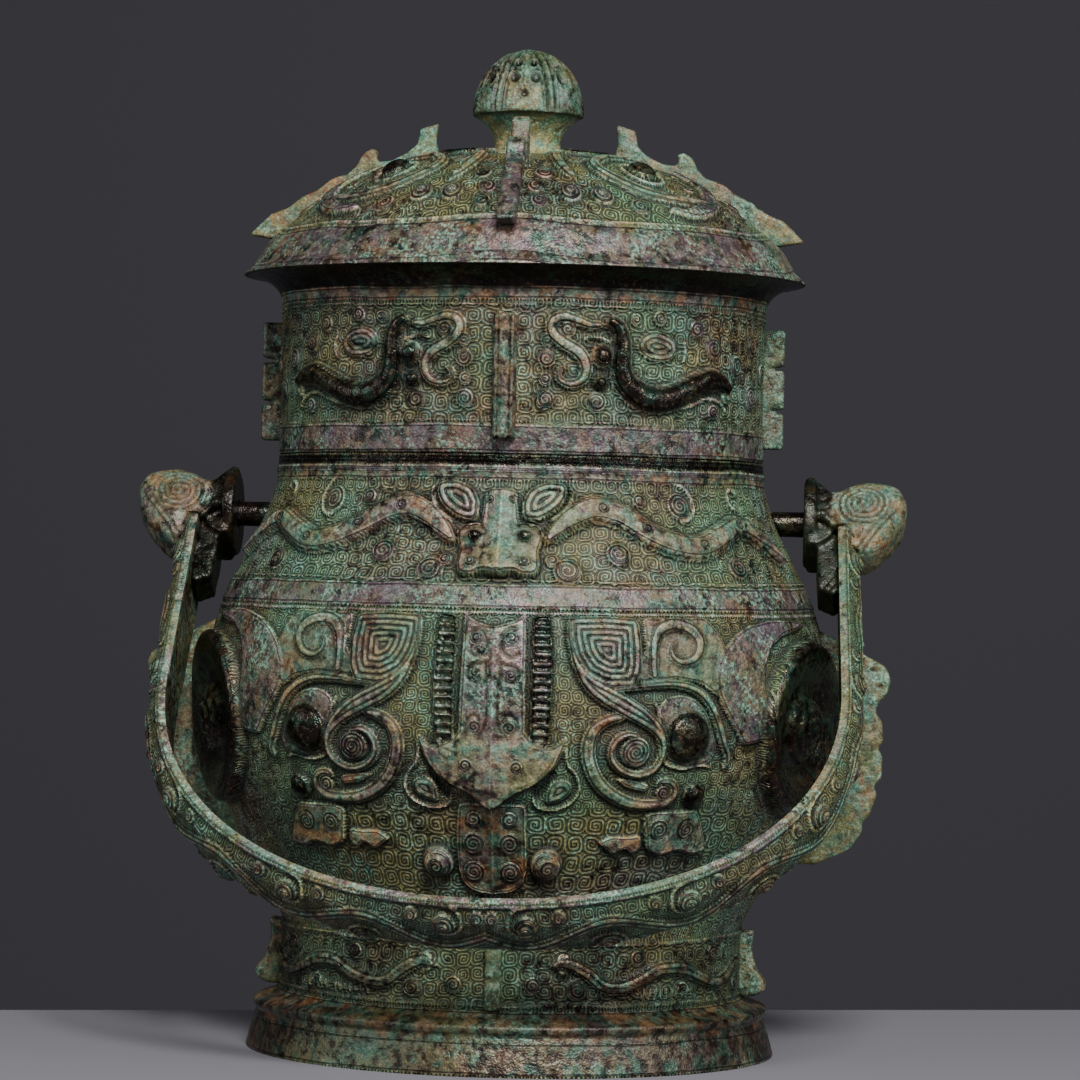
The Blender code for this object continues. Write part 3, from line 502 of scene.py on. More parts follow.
        rise = lift * smooth(inward / (edge * MM))
        self.stamp(window, rise, inward, tone, edge, pitch=pitch, dip=dip, rim=rim, rim_width=0.9)

    def boss(self, angle: float, level: float, radius: float, height: float, *, base: float = 0.0,
             spiral: float = 0.0, tone: Tone = Tone.FIGURE) -> None:
        """Raise a round boss.

        Args:
            angle: Angle of its middle.
            level: Level of its middle, in millimetres.
            radius: Its radius, in millimetres.
            height: Lift of its top, in millimetres.
            base: Lift of its foot, in millimetres.
            spiral: Pitch of the spiral cut on it, in millimetres, or 0; below 0 it turns back.
            tone: What it is finished as.
        """
        u, v = self.place(angle, level)
        window, grid_u, grid_v, distance = self.round_about(u, v, (radius + 1) * MM)
        share = np.clip(distance / (radius * MM), 0, 1)
        rise = (base + (height - base) * np.sqrt(1 - share ** 2 * 0.999)) * MM
        inward = radius * MM - distance
        edge = 0.4
        self.stamp(window, rise * smooth(inward / (edge * MM)), inward, tone, edge)
        if spiral:
            size = abs(spiral) * MM
            self.lay(window, distance < (radius + 0.8) * MM, curl_u=(grid_u - u) / size,
                     curl_v=np.sign(spiral) * (grid_v - v) / size, curl=smooth(inward / (0.5 * MM)))

    def bosses(self, spots: Sequence[tuple[float, ...]], height: float, base: float) -> None:
        """Raise spiral bosses, each given by its angle, level, radius and spiral's pitch."""
        for angle, level, radius, spiral in spots:
            self.boss(angle, level, radius, height, base=base, spiral=spiral)

    def round_about(self, u: float, v: float, reach: float) -> tuple:
        """A window round a place, its two grids of lengths and each cell's distance from the place."""
        return self.near(np.array([[u, v, 0.0], [u + 1e-6, v, 0.0]]), reach)[:4]

    def groove(self, line: Line, half: float, depth: float, lift: float = 0.0) -> None:
        """Cut a line, or add one where the depth is below 0.

        Args:
            line: Points for trace, or what whorl gives.
            half: Half the line's width, in millimetres.
            depth: Its depth, in millimetres.
            lift: Least lift in millimetres of what it is cut into.
        """
        window, _, _, distance, _, _ = self.near(self.trace(line), (half + 1) * MM)
        share = smooth(1 - distance / (half * MM))
        layer = self.layers["lift"][window]
        share = np.where(layer >= lift * MM, share, 0)
        self.layers["lift"][window] = layer - depth * MM * share
        self.layers["cut"][window] = np.maximum(self.layers["cut"][window], share * (depth > 0))

    def finish(self) -> None:
        """Soften the relief a little, and find its recesses and its raised edges."""
        lift = self.layers["lift"]
        lift = (lift + blurred(lift, 1)) / 2
        self.layers["lift"] = lift
        # Recesses are darkened by the finish as painted shade, besides gathering verdigris and rust; raised
        # edges are brightened as a painted highlight, besides paler wear.
        recess = (blurred(lift, 5) - lift) / (0.7 * MM)
        self.layers["recess"] = np.clip(np.maximum(recess, 0) + 0.8 * self.layers["cut"], 0, 1)
        self.layers["edge"] = np.clip((lift - blurred(lift, 3)) / (0.3 * MM), 0, 1)

    def read(self, u: np.ndarray, v: np.ndarray) -> dict[str, np.ndarray]:
        """Read all layers between their cells.

        Args:
            u: First lengths.
            v: Second lengths.

        Returns:
            Each layer's values at the places.
        """
        column = np.clip((u - self.us[0]) / self.cell, 0, len(self.us) - 1.001)
        row = np.clip((v - self.vs[0]) / self.cell, 0, len(self.vs) - 1.001)
        i, j = row.astype(int), column.astype(int)
        a, b = row - i, column - j
        values = {}
        for name, layer in self.layers.items():
            values[name] = (
                layer[i, j] * (1 - a) * (1 - b) + layer[i + 1, j] * a * (1 - b)
                + layer[i, j + 1] * (1 - a) * b + layer[i + 1, j + 1] * a * b
            )
        return values


@dataclass
class Wall:
    """A stretch of a turned outer wall, from its lower end to its upper one."""

    radius: np.ndarray
    height: np.ndarray
    reference: float
    length: np.ndarray = field(init=False)
    arcs: np.ndarray = field(init=False)
    angles: np.ndarray = field(init=False)

    def __post_init__(self) -> None:
        """Measure the wall along its height and round its oval."""
        steps = np.hypot(np.diff(self.radius), np.diff(self.height))
        self.length = np.concatenate([[0.0], np.cumsum(steps)])
        self.angles = np.linspace(-14, 104, 1181)
        turn = np.radians(self.angles)
        speed = np.hypot(np.cos(turn), FORM.oval * np.sin(turn)) * self.reference
        arcs = np.concatenate([[0.0], np.cumsum((speed[1:] + speed[:-1]) / 2 * np.diff(turn))])
        self.arcs = arcs - np.interp(0.0, self.angles, arcs)

    @classmethod
    def along(cls, corners: Path, reference: float, spacing: float) -> "Wall":
        """Sample a profile evenly.

        Args:
            corners: Half widths and heights, close together where the profile is round.
            reference: Half width at which the chart keeps true lengths.
            spacing: Distance between rows.

        Returns:
            The wall.
        """
        points = np.array(corners, float)
        steps = np.hypot(*np.diff(points, axis=0).T)
        length = np.concatenate([[0.0], np.cumsum(steps)])
        rows = max(4, round(length[-1] / (spacing * COARSE)))
        even = np.linspace(0, length[-1], rows + 1)
        return cls(np.interp(even, length, points[:, 0]), np.interp(even, length, points[:, 1]), reference)

    def place(self, angle: float, level: float) -> tuple[float, float]:
        """Lengths on the chart of an angle and a level in millimetres."""
        return (float(np.interp(angle, self.angles, self.arcs)),
                float(np.interp(level * MM, self.height, self.length)))

    def chart(self) -> Chart:
        """A bare chart of a quarter of the wall."""
        low = (self.place(-7.0, 0.0)[0], -0.001)
        high = (self.place(97.0, 0.0)[0], float(self.length[-1]) + 0.001)
        return Chart(self.place, (low, high))

    def normals(self) -> tuple[np.ndarray, np.ndarray]:
        """The outward and the upward share of each row's normal."""
        slope_r = np.gradient(self.radius, self.length)
        slope_z = np.gradient(self.height, self.length)
        size = np.maximum(np.hypot(slope_r, slope_z), 1e-9)
        return slope_z / size, -slope_r / size


def select_none() -> None:
    """Deselect every object."""
    if bpy.context.object and bpy.context.object.mode != "OBJECT":
        bpy.ops.object.mode_set(mode="OBJECT")
    bpy.ops.object.select_all(action="DESELECT")


def select_only(item: Piece) -> None:
    """Select one object and make it the active one."""
    select_none()
    item.select_set(True)
    bpy.context.view_layer.objects.active = item


def turned(name: str, profile: np.ndarray, start: float, sweep: float, columns: int,
           pole: bool = False) -> Piece:
    """Spin a closed profile round the upright axis.

    Args:
        name: The piece's name.
        profile: Half widths and heights in order, counter-clockwise with the axis at the left.
        start: Angle at which the profile stands.
        sweep: How far it turns.
        columns: How many steps it takes.
        pole: Whether its first and last points lie on the axis.

    Returns:
        A closed mesh whose attribute mark gives each vertex's place in the profile.
    """
    select_none()
    bpy.ops.mesh.primitive_circle_add(vertices=len(profile), radius=float(profile[:, 0].max()))
    item = bpy.context.object
    item.name = item.data.name = name
    turn = math.radians(start)
    spots = np.stack([profile[:, 0] * math.sin(turn), -profile[:, 0] * math.cos(turn), profile[:, 1]], 1)
    moved(item, spots)
    mark = item.data.attributes.new("mark", "INT", "POINT")
    mark.data.foreach_set("value", np.arange(len(profile), dtype=np.int32))
    bpy.ops.object.mode_set(mode="EDIT")
    bpy.ops.mesh.select_mode(type="EDGE")
    if pole:
        bpy.ops.mesh.select_all(action="DESELECT")
        bpy.ops.object.mode_set(mode="OBJECT")
        last = len(profile) - 1
        for edge in item.data.edges:
            edge.select = set(edge.vertices) == {0, last}
        bpy.ops.object.mode_set(mode="EDIT")
        bpy.ops.mesh.delete(type="EDGE")
    bpy.ops.mesh.select_mode(type="VERT")
    bpy.ops.mesh.select_all(action="SELECT")
    bpy.ops.mesh.spin(steps=columns, angle=-math.radians(sweep), center=(0, 0, 0), axis=(0, 0, 1))
    bpy.ops.mesh.select_all(action="SELECT")
    if pole or sweep == 360:
        bpy.ops.mesh.remove_doubles(threshold=1e-6)
    if sweep < 360:
        bpy.ops.mesh.fill_holes(sides=0)
    bpy.ops.mesh.normals_make_consistent(inside=False)
    bpy.ops.object.mode_set(mode="OBJECT")
    return item


def coordinates(item: Piece) -> np.ndarray:
    """All of a mesh's vertices, one a row."""
    spots = np.empty(len(item.data.vertices) * 3)
    item.data.vertices.foreach_get("co", spots)
    return spots.reshape(-1, 3)


def directions(item: Piece) -> np.ndarray:
    """All of a mesh's vertex normals, one a row."""
    spots = np.empty(len(item.data.vertices) * 3)
    item.data.vertices.foreach_get("normal", spots)
    return spots.reshape(-1, 3)


def moved(item: Piece, spots: np.ndarray) -> None:
    """Put a mesh's vertices at new places."""
    item.data.vertices.foreach_set("co", spots.ravel())
    item.data.update()


def set_vectors(item: Piece, **vectors: tuple[np.ndarray | float, ...]) -> None:
    """Write three numbers a vertex under each attribute's name."""
    count = len(item.data.vertices)
    for name, columns in vectors.items():
        values = np.stack([np.broadcast_to(np.asarray(column, float), count) for column in columns], 1)
        layer = item.data.attributes.get(name) or item.data.attributes.new(name, "FLOAT_VECTOR", "POINT")
        layer.data.foreach_set("vector", values.ravel())


def rod(radius: float, start: float, end: float, vertices: int = 40, y: float = 0.0,
        z: float = 0.0) -> Piece:
    """Make a round bar from left to right.

    Args:
        radius: Its radius.
        start: Where it starts.
        end: Where it ends.
        vertices: How many sides it has.
        y: Depth of its axis.
        z: Height of its axis.

    Returns:
        The bar.
    """
    select_none()
    bpy.ops.mesh.primitive_cylinder_add(vertices=vertices, radius=radius, depth=end - start,
                                        location=((start + end) / 2, y, z), rotation=(0, math.pi / 2, 0))
    return bpy.context.object


def slab(outline: Path, thickness: float, name: str = "slab") -> Piece:
    """Extrude an outline from front to back, its middle on the axis.

    Args:
        outline: Half width and height of each corner.
        thickness: How thick it is.
        name: The piece's name.

    Returns:
        The closed slab.
    """
    select_none()
    bpy.ops.mesh.primitive_circle_add(vertices=len(outline), radius=0.01, fill_type="NGON")
    item = bpy.context.object
    item.name = item.data.name = name
    moved(item, np.array([(out, -thickness / 2, up) for out, up in outline]))
    bpy.ops.object.mode_set(mode="EDIT")
    bpy.ops.mesh.select_all(action="SELECT")
    bpy.ops.mesh.extrude_region_move(TRANSFORM_OT_translate={"value": (0, thickness, 0)})
    bpy.ops.mesh.select_all(action="SELECT")
    bpy.ops.mesh.normals_make_consistent(inside=False)
    bpy.ops.object.mode_set(mode="OBJECT")
    return item


def corrosion(spots: np.ndarray, amount: float = 1.0) -> np.ndarray:
    """The uneven skin that corrosion leaves on the castings.

    Args:
        spots: Places on the surface.
        amount: How strong it is.

    Returns:
        Lift of each place in metres.
    """
    swell = mottle(spots, 0.024, 5, 2) * 0.22
    grain = mottle(spots, 0.0048, 6, 2) * 0.11
    pits = np.clip(mottle(spots, 0.0034, 8) - 0.45, 0, 1) * 0.35
    return (swell + grain - pits) * MM * amount


def settle(item: Piece, angle: float = 62.0) -> None:
    """Shade a piece smooth but for its sharp edges, and refresh it."""
    select_only(item)
    bpy.ops.object.shade_smooth_by_angle(angle=math.radians(angle))
    item.data.update()


@dataclass
class Casting:
    """One casting: the solid that its pieces stand for, the body that they ride on and their slot."""

    node: str
    body: str
    slot: str

    def keep(self, item: Piece, finish: "Finish") -> None:
        """Give a piece its finish and its body, and hide the solid that it stands for."""
        item.data.materials.clear()
        item.data.materials.append(finish.material())
        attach(item, self.body)
        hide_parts(self.node)
        LOG.info("%s: %d triangles", item.name, sum(len(face.vertices) - 2 for face in item.data.polygons))


@dataclass
class Raised:
    """Lays a chart's relief on a piece that was turned; cells are the ground's from each height up."""

    wall: Wall
    chart: Chart
    before: list[tuple[float, float]]
    after: list[tuple[float, float]]
    plan: bool = False
    fade: tuple[float, float] = (0.8, 0.8)
    cells: tuple[tuple[float, float], ...] = ((0.0, 0.0060),)

    def profile(self) -> np.ndarray:
        """The whole closed profile."""
        rows = np.stack([self.wall.radius, self.wall.height], 1)
        parts = [np.array(part, float).reshape(-1, 2) for part in (self.before, rows, self.after)]
        return np.vstack(parts)

    def make(self, name: str, start: float, sweep: float, columns: int, crowd: float = 0.0,
             pole: bool = False) -> Piece:
        """Turn the wall and raise its relief.

        Args:
            name: The piece's name.
            start: Angle at which it starts.
            sweep: How far it goes round.
            columns: How many cells it has round.
            crowd: Share by which the cells are narrower at the front and wider at the back.
            pole: Whether the profile starts and ends on the axis.

        Returns:
            The piece, closed and in its place.
        """
        profile = self.profile()
        item = turned(name, profile, start, sweep, max(8, round(columns / COARSE)), pole)
        spots = coordinates(item)
        mark = np.empty(len(spots), np.int32)
        item.data.attributes["mark"].data.foreach_get("value", mark)
        angle = np.degrees(np.arctan2(spots[:, 0], -spots[:, 1]))
        angle = angle - np.degrees(crowd * np.sin(np.radians(angle)))
        radius, height = profile[mark, 0], profile[mark, 1]
        row = mark - len(self.before)
        outer = (row >= 0) & (row < len(self.wall.radius))
        row = np.clip(row, 0, len(self.wall.radius) - 1)
        turn = np.radians(angle)
        base = np.stack([radius * np.sin(turn), AXIS_Y - FORM.depth(radius) * np.cos(turn), height], 1)
        out, up = (share[row] for share in self.wall.normals())
        flat = np.stack([FORM.oval * np.sin(turn), -np.cos(turn)], 1)
        flat /= np.linalg.norm(flat, axis=1)[:, None]
        fold = np.where(np.abs(angle) > 90, 180 - np.abs(angle), np.abs(angle))
        sign = np.sign(angle) + (angle == 0)
        if self.plan:
            u = radius * np.sin(np.radians(fold))
            v = FORM.depth(radius) * np.cos(np.radians(fold))
        else:
            u = np.interp(fold, self.wall.angles, self.wall.arcs)
            v = self.wall.length[row]
        sway = 0.4 * MM * np.clip(u / (6 * MM), 0, 1)
        values = self.chart.read(u + sway * mottle(base, 0.013, 21), v + 0.4 * MM * mottle(base, 0.013, 22))
        end = self.wall.length[-1]
        along = self.wall.length[row]
        low, high = self.fade
        open_share = smooth(along / (low * MM)) if low else np.ones(len(row))
        if high:
            open_share = open_share * smooth((end - along) / (high * MM))
        lift = values["lift"] * open_share + corrosion(base)
        lift = np.where(outer, lift, 0)
        push = np.stack([out * flat[:, 0], out * flat[:, 1], up], 1)
        made = base + push * lift[:, None]
        made[:, 2] = np.maximum(made[:, 2], 0)
        down = np.degrees(np.arctan2(np.abs(made[:, 1] - AXIS_Y), PIVOT.z - made[:, 2]))
        room = np.where(down < FORM.room_turn, FORM.room_below, FORM.room_beside)
        made[:, 0] = np.clip(made[:, 0], -room, room)
        moved(item, made)
        found = {name: np.where(outer, layer, 1.0 if name == "cover" else 0.0)
                 for name, layer in values.items()}
        cell = np.full(len(base), self.cells[0][1])
        for level, size in self.cells[1:]:
            cell = np.where(height > level, size, cell)
        set_vectors(
            item, relief=(found["cover"], found["plain"], found["dark"]),
            depth=(found["recess"], found["edge"], found["rust"]),
            curl=(found["curl_u"], found["curl_v"], found["curl"]),
            rim=(np.where(outer, values["inset"], BARE) + RIM_SHIFT, values["rate"], 0.0),
            wall=(sign * u, v, cell),
        )
        settle(item)
        return item


def modified(item: Piece, kind: str, **settings: object) -> None:
    """Give a piece a modifier with these settings, and apply it."""
    select_only(item)
    work = item.modifiers.new(kind.lower(), kind)
    for name, value in settings.items():
        setattr(work, name, value)
    bpy.ops.object.modifier_apply(modifier=work.name)


def remeshed(item: Piece, voxel: float) -> None:
    """Rebuild a closed piece in even cells of a given size."""
    modified(item, "REMESH", mode="VOXEL", voxel_size=voxel * COARSE)


def weathered_and_shaded(item: Piece, amount: float, tone: tuple[float, float, float],
              round_at: float = 0.0012) -> None:
    """Roughen a remeshed piece, and tell its finish what is raised and what is hollow.

    Args:
        item: The piece.
        amount: How strong its corrosion is.
        tone: Its share of plain and of dark skin, and of rust.
        round_at: Lift that counts as a whole edge, in metres.
    """
    spots, normals = coordinates(item), directions(item)
    lift = corrosion(spots, amount)
    moved(item, spots + normals * lift[:, None])
    bend = curvature(item)
    plain, dark, rust = tone
    # Hollows get painted shade and verdigris, and raised edges a painted highlight and wear, in the finish.
    edge = bend * round_at * 400
    set_vectors(item, relief=(1.0, plain, dark), depth=(np.clip(-edge, 0, 1), np.clip(edge, 0, 1), rust),
                curl=NOUGHT, wall=NOUGHT)
    settle(item)


def curvature(item: Piece) -> np.ndarray:
    """How strongly each vertex stands out from its neighbours, above 0 on edges."""
    spots, normals = coordinates(item), directions(item)
    pairs = np.empty(len(item.data.edges) * 2, np.int32)
    item.data.edges.foreach_get("vertices", pairs)
    pairs = pairs.reshape(-1, 2)
    value = np.zeros(len(spots))
    count = np.zeros(len(spots))
    step = spots[pairs[:, 1]] - spots[pairs[:, 0]]
    size = np.maximum(np.linalg.norm(step, axis=1), 1e-9)
    bend = np.einsum("ij,ij->i", normals[pairs[:, 1]] - normals[pairs[:, 0]], step) / size
    for side in (0, 1):
        np.add.at(value, pairs[:, side], bend)
        np.add.at(count, pairs[:, side], 1)
    value /= np.maximum(count, 1)
    total = value.copy()
    for _ in range(2):
        spread = np.zeros(len(spots))
        np.add.at(spread, pairs[:, 0], total[pairs[:, 1]])
        np.add.at(spread, pairs[:, 1], total[pairs[:, 0]])
        total = (total + spread / np.maximum(count, 1)) / 2
    return total


def fin(name: str, outline: Path, angle: float, thickness: float,
        voxel: float = 0.0009, bevel: float = 0.0009) -> Piece:
    """An upright flange: an outline drawn by radius and height, and extruded across an angle.

    Args:
        name: The piece's name.
        outline: Radius and height of each corner.
        angle: Angle at which it stands.
        thickness: How thick it is.
        voxel: Size of its cells.
        bevel: Width of its rounded edges.

    Returns:
        The flange, closed and in its place.
    """
    item = slab(outline, thickness, name)
    modified(item, "BEVEL", width=bevel, segments=2, limit_method="ANGLE")
    turn = math.radians(angle)
    placed = Matrix((
        (math.sin(turn), math.cos(turn), 0, 0), (-math.cos(turn), math.sin(turn), 0, AXIS_Y),
        (0, 0, 1, 0), (0, 0, 0, 1),
    ))
    item.data.transform(placed)
    remeshed(item, voxel)
    return item


@dataclass
class Body(Casting):
    """The body casting: foot, belly with its great mask, neck, side flanges and pins."""

    node: str = "vessel"
    body: str = "vessel_body"
    slot: str = "vessel_bronze"
    split: float = 0.1675
    belly_cell: float = 0.00057
    belly_chart: float = 0.1165
    back_coarser: float = 2.4
    shoulder_cell: float = 0.0007
    shoulder_chart: float = 0.100
    shoulder_columns: int = 570
    foot_cell: float = 0.0009
    foot_columns: int = 470
    flange_cell: float = 0.00105
    flange_top: float = 0.16645
    flange_scrolls: Path = ((0.1335, 0.150), (0.1330, 0.127), (0.1310, 0.104))
    pin_cell: float = 0.0011
    pin_tip: float = 0.1180

    def build(self) -> None:
        """Make every piece of the casting."""
        self.belly()
        self.shoulder()
        self.foot()
        self.flanges()
        self.pins()

    def belly(self) -> None:
        """The belly in three pieces: both front quarters finely, the back half coarser."""
        heights = np.linspace(FORM.foot_height, self.split, 400)
        corners = list(zip(FORM.body_radius(heights), heights))
        inner = [(float(FORM.body_radius(level)) - FORM.wall, level)
                 for level in np.linspace(self.split, FORM.foot_height, 9)]
        fine = Wall.along(corners, self.belly_chart, self.belly_cell)
        chart = fine.chart()
        GreatMask().draw(chart)
        chart.finish()
        cells = ((0.0, 0.0076), (0.0975, 0.0050))
        raised = Raised(fine, chart, [], inner, cells=cells)
        columns = round(fine.arcs[-1] / 104 * 90 / self.belly_cell)
        for name, start in (("vessel_belly_right", 0.0), ("vessel_belly_left", -90.0)):
            self.keep(raised.make(name, start, 90.0, columns), VESSEL_FINISH)
        coarse = Wall.along(corners, self.belly_chart, self.belly_cell * self.back_coarser)
        raised = Raised(coarse, chart, [], inner, cells=cells)
        self.keep(raised.make("vessel_belly_back", 90.0, 180.0, columns), VESSEL_FINISH)

    def shoulder(self) -> None:
        """The neck with its small masks, and the spigot that stands inside the lid."""
        heights = np.linspace(self.split, FORM.seam, 300)
        corners = list(zip(FORM.body_radius(heights), heights))
        wall = Wall.along(corners, self.shoulder_chart, self.shoulder_cell)
        chart = wall.chart()
        NeckBand().draw(chart)
        chart.finish()
        spigot = FORM.neck_radius - FORM.wall - FORM.fit_clearance
        top = FORM.seam + FORM.spigot_height
        after = [(spigot, FORM.seam), (spigot, top), (spigot - FORM.wall, top)]
        after += [(spigot - FORM.wall, FORM.seam)]
        after += [(float(FORM.body_radius(level)) - FORM.wall, level)
                  for level in np.linspace(FORM.seam - 2 * FORM.wall, self.split, 5)]
        raised = Raised(wall, chart, [], after, fade=(0.8, 0.0))
        self.keep(raised.make("vessel_shoulder", 180.0, 360.0, self.shoulder_columns, CROWD), VESSEL_FINISH)

    def foot(self) -> None:
        """The foot ring with its stepped lip, and the floor over it."""
        form = FORM
        step = form.lip_thickness
        corners = [
            (form.foot_radius, 0.0), (form.foot_radius - 0.2 * MM, 0.8 * MM),
            (form.lip_radius - step * 0.3, form.lip_height - step),
            (form.lip_radius, form.lip_height - step * 0.7), (form.lip_radius, form.lip_height - step * 0.2),
            (form.lip_radius - step * 0.4, form.lip_height),
            (form.foot_wall_radius + step * 0.8, form.lip_height + step * 0.45),
            (form.foot_wall_radius, form.lip_height + step),
            (form.foot_wall_radius, form.foot_height),
        ]
        wall = Wall.along(corners, form.foot_wall_radius, self.foot_cell)
        chart = wall.chart()
        FootBand().draw(chart)
        chart.finish()
        roof = form.foot_height - form.wall / 2
        hollow = form.foot_wall_radius - form.wall
        before = [(0.0, roof), (hollow, roof), (hollow, form.lip_height), (form.foot_radius - form.wall, 0.0)]
        raised = Raised(wall, chart, before, [(0.0, form.foot_height)], fade=(0.8, 0.8))
        self.keep(raised.make("vessel_foot", 180.0, 360.0, self.foot_columns, CROWD, pole=True),
                  VESSEL_FINISH)

    def flanges(self) -> None:
        """The hooked flanges at the sides, and the small ones on the foot."""
        low, high = FORM.foot_height, self.flange_top

        def level(share: float) -> float:
            """A height on the mask by its share."""
            return low + (high - low) * share

        def skin(share: float) -> float:
            """The wall's half width at that share."""
            return float(FORM.body_radius(level(share)))

        reach = FORM.belly_radius + FORM.belly_flange_reach - 0.4 * MM
        out = FORM.belly_flange_reach
        marks = ((0.30, 0.862), (0.08, 0.838), (0.0, 0.800), (0.05, 0.755), (0.22, 0.715), (0.24, 0.690),
                 (0.13, 0.665), (0.10, 0.600), (0.20, 0.580), (0.11, 0.555), (0.12, 0.480), (0.24, 0.458),
                 (0.18, 0.430), (0.30, 0.360), (0.42, 0.340), (0.40, 0.312), (0.60, 0.250))
        hook = [(skin(0.96) - SUNK, level(0.96)), (skin(0.90) + out * 0.45, level(0.90))]
        hook += [(reach - out * back, level(share)) for back, share in marks]
        hook += [(skin(0.20) + out * 0.62, level(0.20))]
        hook += [(skin(share) - SUNK, level(share)) for share in (0.20, 0.40, 0.60, 0.80)]
        for side, angle in SIDES:
            item = fin(f"vessel_flange_{side}", hook, angle, FORM.flange_thickness, self.flange_cell)
            flank_scrolls(item, self.flange_scrolls)
            weathered_and_shaded(item, 1.2, (0.1, 0.1, 0.25))
            self.keep(item, FLANGE_FINISH)
        spike, wall = FORM.foot_flange_reach - 0.3 * MM, FORM.foot_wall_radius
        pointed = ((0.50, 0.97), (0.42, 0.80), (0.62, 0.66), (1.0, 0.56), (0.92, 0.50), (0.56, 0.46))
        notched = ((0.30, 0.95), (0.30, 0.72), (0.18, 0.70), (0.18, 0.66), (0.30, 0.64), (0.30, 0.47))
        for places, face, marks, end, thickness, cell, rough, tone in (
            (SIDES, wall, pointed, 0.44, FORM.flange_thickness, 0.0009, 1.1, (0.1, 0.2, 0.2)),
            (FACES, wall * FORM.oval, notched, 0.45, FORM.flange_thickness * 0.7, 0.0008, 0.9,
             (0.2, 0.5, 0.0)),
        ):
            outline = [(face - SUNK, FORM.foot_height * 0.95)]
            outline += [(face + spike * out, FORM.foot_height * share) for out, share in marks]
            outline.append((face - SUNK, FORM.foot_height * end))
            for side, angle in places:
                item = fin(f"foot_flange_{side}", outline, angle, thickness, cell)
                weathered_and_shaded(item, rough, tone)
                self.keep(item, FLANGE_FINISH)

    def pins(self) -> None:
        """The two round pins that carry the handle."""
        root, tip = float(FORM.body_radius(PIVOT.z)) - FORM.wall / 2, self.pin_tip
        for side, start, end in (("right", root, tip), ("left", -tip, -root)):
            item = rod(FORM.pin_radius, start, end, y=AXIS_Y, z=PIVOT.z)
            item.name = f"vessel_pin_{side}"
            bpy.ops.object.transform_apply(location=True, rotation=True, scale=True)
            remeshed(item, self.pin_cell)
            # Painted shade: the pins are made dark all over, as they lie in shadow.
            weathered_and_shaded(item, 0.5, (0.0, 1.0, 0.0))
            self.keep(item, VESSEL_FINISH)


def flank_scrolls(item: Piece, middles: Path) -> None:
    """Cut scrolls into both flat sides of a side flange.

    Args:
        item: The flange.
        middles: Half width and height of each scroll's middle.
    """
    spots, normals = coordinates(item), directions(item)
    lift = np.zeros(len(spots))
    flat = np.abs(normals[:, 1]) > 0.8
    for radius, height in middles:
        across, up = np.abs(spots[:, 0]) - radius, spots[:, 2] - height
        reach = np.hypot(across, up)
        phase = reach / (3.6 * MM) - np.arctan2(up, across) / FULL
        share = smooth((8.5 * MM - reach) / (1.5 * MM))
        lift -= np.where(flat, share * 0.7 * MM * (0.5 - 0.5 * np.cos(FULL * phase)), 0)
    moved(item, spots + normals * lift[:, None])


